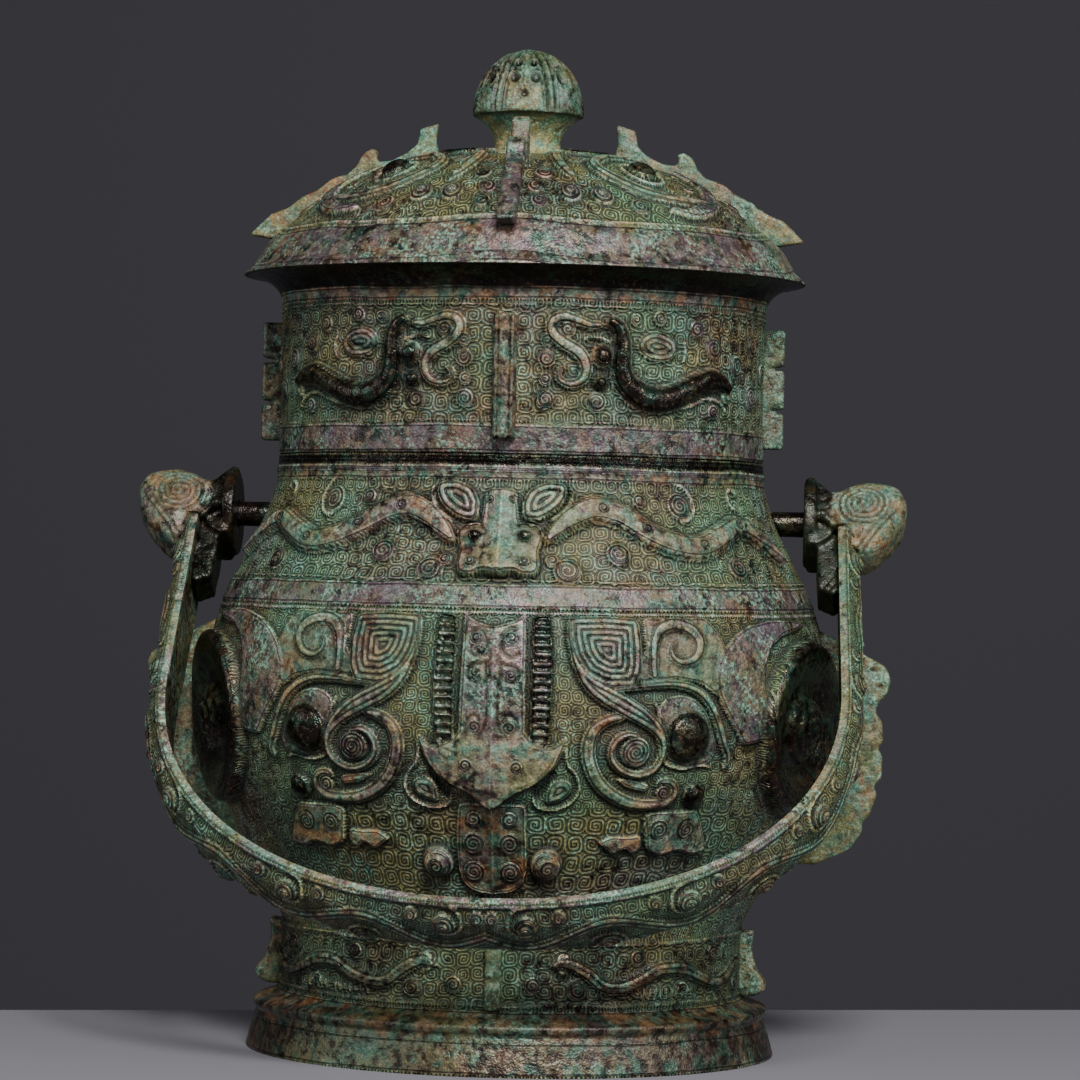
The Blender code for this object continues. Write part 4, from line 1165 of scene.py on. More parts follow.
@dataclass(frozen=True)
class GreatMask:
    """The great beast mask of the belly, one half of it; levels and sizes are millimetres."""

    top: float = 167.0

    def draw(self, chart: Chart) -> None:
        """Draw the half mask on the belly's chart, over a fine ridge under the plain band."""
        chart.ring(self.top - 0.6, 0.5, 0.7, 0.5, Tone.PLAIN)
        for form in (self.nose, self.muzzle, self.chin, self.horn, self.cheek, self.jaw, self.crescent,
                     self.side_coil, self.eye):
            form(chart)

    def nose(self, chart: Chart) -> None:
        """The long nose plate, roofed to a sharp ridge, and the rung strip beside it."""
        heights = [(168, 1.2), (158, 2.4), (135, 2.6), (122, 3.4)]
        outline = [(-5.6, 167.2), (-3.6, 163.6), (0, 161.2), (3.6, 163.6), (5.6, 167.2), (5.7, 140),
                   (5.9, 119), (-5.9, 119), (-5.7, 140)]
        chart.patch(outline, heights, edge=0.6, ridge=0.42, ridge_half=12.0, tone=Tone.PLAIN)
        for scroll in (
            [(3.9, 160.5), (2.2, 160.0), (1.3, 156.5), (1.6, 152.4), (3.2, 150.6), (4.4, 152.4)],
            [(2.0, 148.0), (3.9, 147.0), (4.5, 143.6), (3.4, 141.4), (2.3, 142.8), (2.9, 144.6)],
            [(1.4, 148.8), (1.0, 140.0), (0.9, 130.0), (1.5, 124.6), (3.0, 122.6), (4.3, 124.6), (4.2, 128.6),
             (2.8, 130.2), (2.2, 128.0), (2.9, 126.4)],
        ):
            chart.groove(scroll, 0.75, 0.85, 0.8)
        for angle, level, radius in ((3.0, 157.0, 2.5), (3.1, 144.6, 2.1), (3.0, 126.0, 2.3)):
            chart.boss(angle, level, radius, 2.7, base=2.2, spiral=1.25, tone=Tone.PLAIN)
        strip = [(6.6, 165.4), (10.2, 166.2), (10.4, 150), (10.2, 128), (9.9, 119.5), (8.4, 116.2),
                 (6.3, 115.6), (6.5, 124)]
        chart.patch(strip, [(168, 1.9), (116, 2.1)], edge=0.5, rim=1.6, tone=Tone.DARK)
        level = 161.5
        while level > 119:
            chart.band([(7.1, level), (8.4, level + 0.2), (9.8, level)], 1.5, 0.70, edge=0.45, taper=0,
                       crown=0.1, tone=Tone.PLAIN)
            level -= 3.15

    def muzzle(self, chart: Chart) -> None:
        """The muzzle that juts out over the jaw, with its curled tips and its nostrils."""
        outline = [
            (0, 97.6), (1.6, 99.2), (3.1, 101.6), (4.4, 103.4), (6.2, 104.6), (8.3, 106.6), (10.2, 109.6),
            (11.6, 113.2), (12.5, 117.4), (13.6, 122.2), (12.6, 123.6), (11.2, 120.6), (9.9, 119.4),
            (7.9, 120.8), (6.4, 122.8), (5.9, 126), (-5.9, 126), (-6.4, 122.8), (-6.4, 104.7), (-4.4, 103.4),
            (-3.1, 101.6), (-1.6, 99.2),
        ]
        heights = [(127, 1.2), (123.5, 2.9), (119, 4.6), (114, 6.0), (107, 7.6), (100, 7.9)]
        chart.patch(outline, heights, edge=1.3, ridge=0.62, ridge_half=25.0)
        chart.groove([(0, 160.4), (0, 140), (0, 118), (0, 99.6)], 0.6, -0.6, 0.5)
        chart.boss(4.3, 113.2, 2.6, 5.7, base=5.2, spiral=1.2)
        chart.groove([(1.8, 101.6), (4.2, 105.6), (7.6, 108.0), (9.6, 111.6), (10.8, 115.6)], 0.55, 0.7, 2.0)
        chart.groove([(7.6, 114.6), (9.0, 117.2), (8.2, 118.6), (6.8, 117.2)], 0.5, 0.7, 2.0)
        leaf = [(9.6, 104.6), (10.6, 107.4), (12.2, 108.4), (13.8, 107.6), (14.5, 104.8), (13.6, 101.6),
                (11.6, 99.4), (9.4, 98.6)]
        chart.patch(leaf, [(110, 2.4), (98, 1.8)], edge=0.6, pitch=2.0, dip=0.7)
        arch = [(7.3, 104.5), (7.6, 99.0), (9.2, 97.3), (12.0, 97.4), (14.6, 100.4), (15.6, 104.8),
                (14.9, 109.6), (13.3, 113.0), (12.9, 118.0), (13.7, 122.4)]
        chart.band(arch, 1.9, 0.75, edge=0.5, taper=0.12)
        chart.groove([(7.4, 104.2), (8.0, 101.6), (9.2, 106.0), (10.6, 109.4)], 2.4, 1.7)

    def chin(self, chart: Chart) -> None:
        """The column under the muzzle, its scrolls and the snail knobs beside it."""
        column = [(-6.2, 99), (6.2, 99), (6.8, 86), (7.0, 75), (6.4, 70), (4.2, 66.6), (0, 65.6),
                  (-4.2, 66.6), (-6.4, 70), (-7.0, 75), (-6.8, 86)]
        chart.patch(column, [(100, 1.5), (66, 1.9)], edge=0.7, rim=0.8, tone=Tone.RUST)
        chart.band([(0, 99), (0, 84), (0, 67)], 2.0, 0.7, edge=0.5, taper=0)
        chart.bosses([(3.5, 84.6, 4.4, 1.5), (3.7, 74.2, 4.8, 1.5), (3.3, 93.4, 3.4, 1.5)], 2.0, 1.2)
        chart.boss(10.7, 77.6, 6.5, 5.2, base=0.8, spiral=1.9)
        chart.boss(10.7, 77.6, 3.4, 5.9, base=4.6, spiral=-1.5)

    def horn(self, chart: Chart) -> None:
        """The horn: a grooved leaf at the top that sweeps down and rolls up below the brow."""
        leaf = [(13.0, 165.2), (12.7, 157.5), (13.5, 150), (15.6, 143.5), (19.5, 139.8), (25.2, 140.4),
                (26.4, 147), (26.6, 156), (26.2, 165.0), (20, 166.0)]
        chart.patch(leaf, [(168, 1.7), (140, 2.1)], edge=0.7, pitch=2.15, dip=0.8)
        sweep = [
            (13.5, 165.0, 1.2), (13.3, 157, 1.3), (14.3, 149, 1.8), (16.4, 142.4, 3.0), (19.6, 137.9, 3.9),
            (23.2, 134.0, 4.1), (26.4, 130.2, 3.6), (29.0, 125.6, 2.7), (30.3, 120.6, 2.0),
            (30.2, 115.8, 1.8), (28.6, 111.8, 1.8), (25.7, 110.0, 1.8), (22.7, 111.8, 1.8),
            (20.9, 116.4, 1.8), (21.3, 121.4, 1.8), (23.3, 124.2, 1.7), (25.9, 123.4, 1.6),
        ]
        chart.boss(25.2, 118.0, 5.6, 2.3, base=1.6, spiral=1.35)
        chart.band(sweep, 2.9, edge=0.7, taper=0.02, pitch=1.9, dip=0.9, crown=0.2)
        ear = [
            (28.4, 143.2, 2.2), (28.3, 150, 2.3), (28.8, 156.6, 2.6), (30.4, 161.2, 2.9), (33.4, 162.8, 3.0),
            (36.7, 160.8, 3.0), (38.0, 156.4, 2.8), (36.9, 151.6, 2.5), (34.1, 149.8, 2.2),
            (32.2, 151.8, 1.9), (32.2, 155.2, 1.6), (33.8, 156.4, 1.2),
        ]
        plate = [(26.9, 165.4), (26.9, 152), (24.0, 146.0), (25.5, 142.0), (33.0, 143.6), (38.0, 141.8),
                 (41.6, 137.0), (44.4, 143), (44.6, 152), (43.4, 160), (40.2, 166.0)]
        chart.patch(plate, [(168, 0.9), (136, 1.0)], edge=0.6)
        chart.band(ear, 2.4, edge=0.6, taper=0.03, pitch=2.2, dip=0.8, crown=0.15)

    def cheek(self, chart: Chart) -> None:
        """The loop round the horn's roll and its curled end."""
        loop = [
            (23.6, 130.0, 1.5), (20.6, 129.6, 2.3), (17.8, 126.4, 2.7), (16.7, 120.6, 2.9),
            (17.1, 114.2, 2.9), (18.8, 107.6, 2.9), (21.4, 103.0, 2.8), (24.9, 99.9, 2.7), (28.6, 99.1, 2.5),
            (32.2, 100.0, 2.4), (34.0, 103.4, 2.2), (33.2, 107.2, 1.9), (31.0, 108.0, 1.6),
            (29.7, 105.2, 1.3),
        ]
        chart.band(loop, 2.4, edge=0.6, taper=0.04, pitch=2.1, dip=0.8, crown=0.15)
        chart.boss(31.6, 103.8, 3.1, 1.9, base=1.0, spiral=1.3)
        chart.patch([(21.5, 108.6), (24.0, 104.8), (28.4, 103.4), (28.8, 107.2), (24.6, 108.6)],
                    [(110, 1.3), (103, 1.3)], edge=0.8, tone=Tone.RUST)

    def jaw(self, chart: Chart) -> None:
        """The ledge of the jaw with two scrolls, and its stud."""
        slab = [(28.4, 95.4), (31.4, 96.8), (36.2, 96.6), (40.2, 97.2), (42.8, 90.0), (45.3, 82.2),
                (41.0, 80.4), (37.4, 82.6), (33.6, 80.6), (30.2, 82.8), (29.4, 88.8)]
        chart.patch(slab, [(97, 1.2), (89, 1.9), (80, 3.0)], edge=0.8, tone=Tone.RUST)
        chart.bosses([(32.2, 90.4, 4.4, 1.45), (38.2, 90.2, 4.4, -1.45)], 2.6, 1.9)
        tatter = [(19.8, 85.4), (22.6, 88.4), (26.2, 87.8), (28.8, 88.6), (29.6, 83.4), (27.6, 80.8),
                  (26.0, 83.8), (23.8, 80.6), (22.0, 83.2)]
        chart.patch(tatter, [(89, 1.2), (80, 2.6)], edge=0.7, tone=Tone.RUST)
        chart.boss(38.3, 102.6, 4.5, 3.6, base=0.6, tone=Tone.DARK)

    def crescent(self, chart: Chart) -> None:
        """The smooth crescent behind the eye."""
        outline = [
            (47.6, 119.6), (45.4, 126), (42.6, 133), (40.7, 140), (40.9, 147), (43.0, 154), (46.4, 159.4),
            (50.6, 163.0), (57, 165.2), (66, 165.2), (73, 163.4), (67.4, 161.0), (61, 159.2), (56.4, 155.4),
            (53.7, 149.4), (53.1, 142), (54.2, 132), (54.9, 121.5),
        ]
        chart.patch(outline, [(167, 1.4), (150, 2.4), (120, 2.0)], edge=0.9, tone=Tone.PLAIN)

    def side_coil(self, chart: Chart) -> None:
        """The great coil of the flank: a flared rim, a deep hollow and a snail boss."""
        angle, level = 69.5, 125.0
        u, v = chart.place(angle, level)
        window, grid_u, grid_v, distance = chart.round_about(u, v, 34 * MM)
        snail_end, coil_end, rim_top = 11.5, 33.0, 29.5
        steps = (0, 2.5, 5, 9, snail_end, 13.5, 17, 19, 22, 26, rim_top, 31.4, coil_end)
        lifts = (5.2, 4.8, 4.0, 2.6, 0.6, -1.6, -1.8, 0.4, 2.9, 4.6, 5.3, 4.4, 0.0)
        reach = distance / MM
        turn = np.arctan2(grid_v - v, grid_u - u) / FULL
        snail = 0.5 - 0.5 * np.cos(FULL * (reach / 3.2 - turn))
        rings = 0.5 - 0.5 * np.cos(FULL * reach / 1.75)
        ringed = rings * smooth((reach - 19) / 1.5) * smooth((29 - reach) / 1.2)
        snails = np.where(reach < snail_end, 1.1 * snail, 0)
        rise = MM * (np.interp(reach, steps, lifts) - snails - 0.5 * ringed)
        lift, cut = (chart.layers[name][window] for name in ("lift", "cut"))
        chart.layers["cut"][window] = np.maximum(cut, np.where(reach < snail_end, snail, ringed) ** 2)
        chart.lay(window, reach < coil_end, lift=np.where(reach > rim_top, np.maximum(rise, lift), rise))
        # The coil is made dark all over: painted shade in its deep hollow, along with its own dark, rusty
        # skin.
        share = smooth((32.2 - reach) / 0.8)
        for name, value in (("cover", 1.0), ("plain", 0.0), ("dark", 0.9), ("rust", 0.30)):
            part = chart.layers[name][window]
            chart.layers[name][window] = part * (1 - share) + value * share

    def eye(self, chart: Chart) -> None:
        """The brow, the smooth lid and the round eye under it."""
        lid = [(28.8, 131), (29.4, 135.6), (31.4, 138.2), (34.6, 138.4), (37.4, 135.8), (39.4, 131.4),
               (40.8, 125), (42.0, 118.4), (40.4, 113.6), (35.4, 111.8), (30.8, 114.6)]
        chart.patch(lid, [(140, 1.5), (112, 1.0)], edge=0.8, tone=Tone.PLAIN)
        brow = [
            (20.6, 139.6, 1.1), (24.8, 140.6, 1.4), (29.0, 141.8, 1.7), (33.4, 141.7, 1.9),
            (36.8, 139.4, 2.1), (39.4, 135.2, 2.2), (41.3, 129, 2.2), (42.8, 122, 2.1), (44.2, 115.6, 1.7),
            (43.4, 111.6, 1.2),
        ]
        chart.band(brow, 2.8, edge=0.6, taper=0.03, pitch=2.0, dip=0.7)
        chart.band([(28.6, 136.2), (29.3, 131.6), (30.8, 128.4)], 1.7, 0.8, edge=0.5)
        chart.band([(29.8, 117.8), (31.6, 113.8), (34.9, 112.2), (38.4, 113.4), (41.4, 112.2)], 1.6, 0.7,
                   edge=0.5)
        chart.boss(34.9, 123.6, 8.7, 6.0, base=0.9, tone=Tone.DARK)
        for angle, level in ((36.5, 126.2), (33.0, 126.0)):
            chart.groove(chart.whorl(angle, level, 1.5, 1.7, 60, 300), 0.45, 0.4, 2.0)


@dataclass(frozen=True)
class NeckBand:
    """The neck's band: a small mask in the middle with a winding dragon at each side."""

    def draw(self, chart: Chart) -> None:
        """Draw half the band on the neck's chart."""
        chart.belt(166.6, 176.6, 0.5, 0.6, Tone.PLAIN)
        chart.ring(177.6, 0.8, 0.6, 0.4)
        chart.ring(217.6, 0.7, 1.5, 0.6, Tone.PLAIN)
        chart.belt(219.0, 224.0, 0.3, 0.4, Tone.DARK)
        chart.belt(213.2, 218.4, 0.2, 0.9)
        self.dragon(chart)
        self.mask(chart)

    def dragon(self, chart: Chart) -> None:
        """The winding dragon with its whorls."""
        back = [
            (9.2, 190.2, 1.6), (11.6, 195.0, 3.2), (14.8, 199.8, 4.3), (19.8, 203.6, 4.8), (25.3, 201.8, 4.9),
            (31.0, 196.2, 4.9), (38.0, 191.6, 4.8), (44.4, 191.0, 4.6), (51.6, 195.0, 4.3),
            (58.8, 198.6, 3.9), (65.8, 194.0, 3.4), (71.6, 187.4, 2.2), (73.4, 184.0, 1.2),
        ]
        chart.band([(*spot[:2], spot[2] + 1.1) for spot in back], 0.9, edge=0.5, taper=0.02)
        chart.band(back, 3.3, edge=0.9, taper=0.02, crown=0.35)
        for shift in (-2.6, 2.8):
            chart.groove([(angle + 0.3, level + shift) for angle, level, _ in back[2:11]], 0.45, 0.6, 1.0)
        for share in np.arange(26) / 25:
            angle = 13 + 56 * share
            level = float(np.interp(angle, *np.array(back).T[:2]))
            chart.groove([(angle - 0.5, level - 1.2), (angle, level + 0.9), (angle + 0.9, level + 1.6)], 0.4,
                         0.45, 1.2)
        chart.bosses([(21.6, 203.4, 2.5, 1.2), (31.0, 196.4, 2.5, -1.2), (44.4, 191.2, 2.5, 1.2),
                      (57.4, 198.0, 2.5, -1.2)], 3.7, 3.2)
        chart.bosses([(13.4, 180.9, 5.0, 1.6), (41.0, 205.6, 5.4, -1.6)], 1.6, 0.9)
        chart.bosses([(31.0, 207.2, 3.0, 1.3)], 1.3, 0.8)
        chart.bosses([(24.2, 187.4, 4.6, 1.5), (53.4, 183.6, 4.6, -1.5)], 1.4, 0.8)
        chart.band(chart.whorl(41.0, 205.6, 5.4, 8.6, 250, 200), 1.3, 0.9, edge=0.5)
        chart.band(chart.whorl(60.0, 209.4, 2.4, 4.8, 0, 300), 1.3, 0.9, edge=0.5)

    def mask(self, chart: Chart) -> None:
        """The small mask: ears, brow, eyes and a jutting muzzle."""
        ear = [(4.4, 199.0), (4.2, 205.0), (5.8, 210.6), (9.8, 213.6), (14.2, 212.8), (14.6, 208.6),
               (13.0, 203.8), (9.9, 199.8), (7.0, 198.0)]
        chart.patch(ear, [(213, 2.8), (198, 3.2)], edge=0.7, pitch=2.4, dip=1.1)
        chart.band([(14.9, 212.4), (15.3, 207.6), (13.4, 202.6), (10.0, 198.4)], 2.2, 0.9, edge=0.5)
        plate = [(-3.4, 211), (3.4, 211), (3.9, 203), (4.2, 197.6), (8.6, 197.2), (9.2, 192.6), (8.0, 186.8),
                 (8.4, 182.4), (7.6, 178.6), (4.4, 177.8), (3.0, 179.6), (0, 178.0), (-3.0, 179.6),
                 (-4.4, 177.8), (-8.4, 182.4), (-8.0, 186.8), (-9.2, 192.6), (-8.6, 197.2), (-4.2, 197.6)]
        heights = [(212, 1.6), (200, 2.4), (192, 3.2), (184, 5.6), (178, 6.4)]
        chart.patch(plate, heights, edge=1.1, ridge=0.55, ridge_half=16.0)
        chart.groove([(0, 210.4), (0, 195), (0, 179.4)], 0.8, -0.6, 0.5)
        chart.boss(5.0, 182.4, 2.2, 6.3, base=5.2, spiral=1.1)
        chart.boss(2.4, 206.4, 1.7, 2.3, base=1.8, spiral=1.0)
        chart.groove([(2.2, 210), (2.4, 203), (2.2, 196)], 0.5, 0.5, 0.6)
        chart.groove([(0.8, 190.6), (2.0, 188.4), (3.6, 188.8)], 0.5, 0.6, 1.0)
        chart.boss(4.9, 192.4, 2.7, 4.6, base=2.6, tone=Tone.DARK)
        chart.band([(1.4, 194.8), (4.0, 196.6), (7.4, 196.0), (9.0, 192.8)], 4.2, 0.8, edge=0.5)
        chart.boss(10.6, 184.6, 2.6, 1.6, base=0.8, spiral=1.3)


@dataclass(frozen=True)
class FootBand:
    """The foot's band of dragons over its stepped lip."""

    def draw(self, chart: Chart) -> None:
        """Draw half the band on the foot's chart."""
        chart.belt(-1, 22.5, 0.12, 0.2, Tone.RUST)
        chart.belt(-1, 12.5, 0.15, 0.2)
        chart.ring(46.8, 0.9, 0.8, 0.5)
        chart.ring(24.4, 0.9, 0.7, 0.5)
        dragon = [
            (13.0, 38.4, 1.9), (17.5, 40.0, 2.8), (22.6, 36.4, 3.0), (26.8, 31.8, 3.0), (31.4, 31.2, 3.0),
            (36.6, 33.4, 3.0), (42.4, 37.2, 3.1), (50.0, 37.0, 3.1), (57.4, 33.2, 2.9), (63.4, 31.0, 2.6),
            (69.0, 32.8, 2.4), (74.4, 37.2, 2.0), (80.0, 38.2, 1.4),
        ]
        chart.band(dragon, 2.3, edge=0.8, taper=0.03, crown=0.5, pitch=2.0, dip=0.5)
        for angle in 32 + 1.75 * np.arange(13):
            chart.band([(angle, 26.4), (angle + 0.6, 29.8)], 1.5, 0.7, edge=0.4, taper=0)
        chart.bosses([(20.0, 30.0, 3.6, 1.3), (36.0, 42.0, 3.2, 1.3), (62.0, 41.4, 3.6, -1.3),
                      (50.0, 29.8, 2.6, 1.2), (76.0, 29.8, 3.4, 1.3), (9.4, 31.8, 3.4, -1.3)],
                     1.4, 0.8)
        chart.band(chart.whorl(17.2, 40.2, 2.2, 4.4, 30, 260), 1.6, 0.8, edge=0.5)
        # Painted shade: the whole foot is darkened, as it lies in shadow under the belly.
        chart.layers["dark"] = np.maximum(chart.layers["dark"], 0.45)


@dataclass
class Lid(Casting):
    """The lid casting: collar, flaring rim, dome, eight flanges and the lobed knob."""

    node: str = "lid"
    body: str = "vessel_body"
    slot: str = "lid_bronze"
    collar_cell: float = 0.00076
    collar_columns: int = 540
    dome_cell: float = 0.00092
    dome_columns: int = 470
    knob_cell: float = 0.0007
    knob_columns: int = 228
    dimples: tuple[tuple[float, float, float], ...] = ((12.8, 4.2, 2.7), (18.8, 3.0, 1.8), (6.4, 0.0, 2.0))

    def build(self) -> None:
        """Make every piece of the lid."""
        self.collar()
        self.dome()
        self.knob()
        self.flanges()

    def collar(self) -> None:
        """The straight collar with its dragons, and the flare up to the sharp rim."""
        form = FORM
        bottom = form.seam + form.rest_gap
        corners = [(form.neck_radius - 0.5 * MM, bottom), (form.neck_radius, bottom + 0.6 * MM),
                   (form.neck_radius, form.collar_top)]
        for share in np.linspace(0.04, 1.0, 24):
            turn = math.pi / 2 * share
            radius = form.neck_radius + (form.rim_radius - form.neck_radius) * (1 - math.cos(turn))
            corners.append((radius, form.collar_top + form.rim_flare * math.sin(turn)))
        wall = Wall.along(corners, form.neck_radius, self.collar_cell)
        chart = wall.chart()
        CollarBand().draw(chart)
        chart.finish()
        inside = form.neck_radius - form.wall
        after = [(form.rim_radius - form.rim_thickness * 1.6, form.rim + 0.8 * MM),
                 (inside, form.collar_top + form.wall), (inside, bottom)]
        raised = Raised(wall, chart, [], after, fade=(0.0, 0.5))
        self.keep(raised.make("lid_collar", 180.0, 360.0, self.collar_columns, CROWD), LID_FINISH)

    def dome(self) -> None:
        """The bevelled rim and the dome with its masks."""
        form = FORM
        corners = [(form.rim_radius, form.rim),
                   (form.rim_radius - form.rim_thickness, form.rim + form.rim_thickness)]
        for radius in np.linspace(form.dome_radius, 0.0140, 120):
            corners.append((radius, float(form.dome_height(radius))))
        wall = Wall.along(corners, form.dome_radius, self.dome_cell)

        def place(angle: float, level: float) -> tuple[float, float]:
            """Plan lengths of an angle and a radius in millimetres."""
            turn, radius = math.radians(angle), level * MM
            return radius * math.sin(turn), float(form.depth(radius)) * math.cos(turn)

        chart = Chart(place, ((-0.010, -0.010), (form.rim_radius + 0.003, form.rim_radius)))
        DomeFace().draw(chart)
        chart.finish()
        after = [(0.0100, form.dome_top - form.wall)]
        for share in (0.60, 0.85, 0.95):
            radius = form.dome_radius * share
            after.append((radius, float(form.dome_height(radius)) - form.wall))
        raised = Raised(wall, chart, [], after, plan=True, fade=(0.5, 0.8))
        self.keep(raised.make("lid_dome", 180.0, 360.0, self.dome_columns, CROWD), LID_FINISH)

    def knob(self) -> None:
        """The stem and the lobed cap with its ringed dimples."""
        form = FORM
        base = form.cap_level - 0.8 * MM
        neck = form.stem_radius + 0.3 * MM
        corners = [(neck + 4.0 * MM, form.dome_top - 1.6 * MM)]
        for share in np.linspace(0, 1, 12):
            corners.append((neck + 3.2 * MM * (1 - share) ** 3, form.dome_top + 4.0 * MM * share))
        for share in np.linspace(0.1, 1, 14):
            corners.append((neck + (form.cap_radius * 0.95 - neck) * share ** 2.4,
                            form.dome_top + 4.0 * MM + (base - form.dome_top - 4.0 * MM) * share))
        corners.append((form.cap_radius - 0.3 * MM, base + 0.3 * MM))
        corners.append((form.cap_radius, base + 1.2 * MM))
        for turn in np.radians(np.linspace(4, 88, 60)):
            corners.append((form.cap_radius * math.cos(turn) ** 0.94,
                            form.cap_level + form.cap_height * math.sin(turn)))
        wall = Wall.along(corners, form.cap_radius, self.knob_cell)
        profile = np.vstack([[(0.0, form.dome_top - 2 * MM)], np.stack([wall.radius, wall.height], 1),
                             [(0.0, form.cap_level + form.cap_height)]])
        item = turned("lid_knob", profile, 180.0, 360.0, round(self.knob_columns / COARSE), pole=True)
        self.lobes(item, base)
        self.keep(item, KNOB_FINISH)

    def lobes(self, item: Piece, base: float) -> None:
        """Cut the cap into six lobes with ribs between them, and their dimples.

        Args:
            item: The knob as it was turned.
            base: Height of the cap's lower edge.
        """
        form = FORM
        spots = coordinates(item)
        angle = np.degrees(np.arctan2(spots[:, 0], -spots[:, 1]))
        radius = np.hypot(spots[:, 0], spots[:, 1])
        height = (spots[:, 2] - form.cap_level) / MM
        up = np.clip(height / (form.cap_height / MM), 0, 1)
        on_cap = smooth((spots[:, 2] - base - 0.4 * MM) / (0.8 * MM))
        lobe = (angle + 30) % 60 - 30
        arc = np.abs(lobe) * np.pi / 180 * radius / MM
        edge_arc = (30 - np.abs(lobe)) * np.pi / 180 * radius / MM
        depth = 1.5 * np.exp(-((edge_arc - 1.6) / 0.8) ** 2) + 0.8 * np.exp(-((edge_arc - 3.5) / 0.5) ** 2)
        for level, offset, size in self.dimples:
            ring = np.hypot(arc - offset, (height - level) * (1.1 - 0.25 * up))
            depth = depth * smooth((ring - size) / 0.5)
            border = np.exp(-((ring - size - 0.7) / 0.4) ** 2)
            depth += 2.0 * np.exp(-(ring / (size * 0.80)) ** 4) + 0.8 * border
        depth = depth * on_cap * smooth((radius / MM - 1.2) / 2)
        turn = np.arcsin(up)
        out = spots * np.array([1, 1, 0]) / np.maximum(radius, 1e-6)[:, None]
        normal = out * np.cos(turn)[:, None] + np.array([0, 0, 1]) * np.sin(turn)[:, None]
        skin = corrosion(spots, 0.5) - 0.25 * MM
        lift = (skin - depth * MM * 0.85) * smooth(radius / (2.5 * MM))
        spots = spots + normal * lift[:, None]
        spots[:, 1] += AXIS_Y
        moved(item, spots)
        # Painted shade darkens the dimples and the crease under the cap, which also gather verdigris; the
        # stem is painted brighter all over, painted light against the cap's shadow.
        under = np.exp(-((spots[:, 2] - base) / (1.0 * MM)) ** 2)
        set_vectors(
            item, relief=(1.0, 0.0, np.clip(0.25 * on_cap + smooth((depth - 1.2) / 0.6), 0, 1)),
            depth=(np.clip(depth * 0.7 + under, 0, 1),
                   np.clip(0.35 * on_cap - depth + 1.2 * (1 - on_cap), 0, 1), 0.0),
            curl=NOUGHT, wall=NOUGHT,
        )
        settle(item)

    def flanges(self) -> None:
        """Four notched flanges on the collar, and four hooked ones on the dome."""
        form = FORM
        low = form.seam + form.collar_height * 0.100
        tall = form.collar_height * 0.780
        for side, angle in (FACES[0], SIDES[0], FACES[1], SIDES[1]):
            on_side = abs(angle) == 90.0
            face = form.neck_radius if on_side else float(form.depth(form.neck_radius))
            root, reach = face - form.wall / 2, face + form.collar_flange_reach - 0.2 * MM
            notch = face + form.collar_flange_reach * 0.30
            outline = [(root, low), (reach, low)]
            for share in (0.32, 0.68) if on_side else ():
                for depth, shift in ((reach, -0.020), (notch, -0.014), (notch, 0.014), (reach, 0.020)):
                    outline.append((depth, low + tall * (share + shift)))
            outline += [(reach, low + tall), (root, low + tall)]
            item = fin(f"collar_flange_{side}", outline, angle, form.flange_thickness, 0.0008, 0.0007)
            if not on_side:
                self.fluting(item, face)
            weathered_and_shaded(item, 0.5, (0.35, 0.35, 0.1) if on_side else (0.15, 0.15, 0.55))
            self.keep(item, FLANGE_FINISH if on_side else RIB_FINISH)
            hooks = self.dome_hooks(1.0 if on_side else form.oval)
            thickness = form.flange_thickness * (0.6 if on_side else 0.8)
            item = fin(f"dome_flange_{side}", hooks, angle, thickness, 0.0009, 0.0007)
            weathered_and_shaded(item, 1.1 if on_side else 0.7, (0.1, 0.0, 0.3) if on_side else (0.85, 0.0, 0.1))
            self.keep(item, FLANGE_FINISH if on_side else RIB_FINISH)

    def fluting(self, item: Piece, face: float) -> None:
        """Cut two upright flutes into a flange that is seen end on."""
        spots, normals = coordinates(item), directions(item)
        front = smooth((np.abs(spots[:, 1] - AXIS_Y) - face - 3 * MM) / MM)
        across = np.abs(spots[:, 0])
        cut = (np.exp(-((across - 2.2 * MM) / (0.5 * MM)) ** 2) + smooth((across - 2.6 * MM) / (1.6 * MM)))
        cut = cut * front * 1.2 * MM
        moved(item, spots - normals * cut[:, None])

    def dome_hooks(self, scale: float) -> list[tuple[float, float]]:
        """The outline of a dome flange, from its beak past the rim to its hooks by the stem."""
        form = FORM
        rise, root = form.dome_flange_rise, form.wall / 2

        def skin(share: float) -> float:
            """Height of the dome at a share of its half width."""
            return float(form.dome_height(form.dome_radius * share))

        crest = (
            (1.085, 0.97, 0.12), (1.04, 0.97, 0.62), (1.00, 0.97, 1.02), (0.93, 0.92, 0.82),
            (0.88, 0.88, 0.90), (0.82, 0.82, 0.72), (0.76, 0.76, 0.80), (0.70, 0.70, 0.62),
            (0.665, 0.665, 0.80), (0.645, 0.64, 1.15), (0.61, 0.61, 1.24), (0.585, 0.59, 1.10),
            (0.59, 0.59, 0.60), (0.53, 0.53, 0.44), (0.47, 0.46, 0.55), (0.43, 0.43, 0.85),
            (0.42, 0.42, 1.50), (0.345, 0.34, 1.58), (0.355, 0.35, 0.8),
        )
        marks = [(0.96, skin(0.96) - root)]
        marks += [(share, skin(over) + rise * up) for share, over, up in crest]
        marks += [(share, skin(share) - root) for share in (0.33, 0.50, 0.66, 0.82)]
        return [(form.dome_radius * share * scale, height) for share, height in marks]


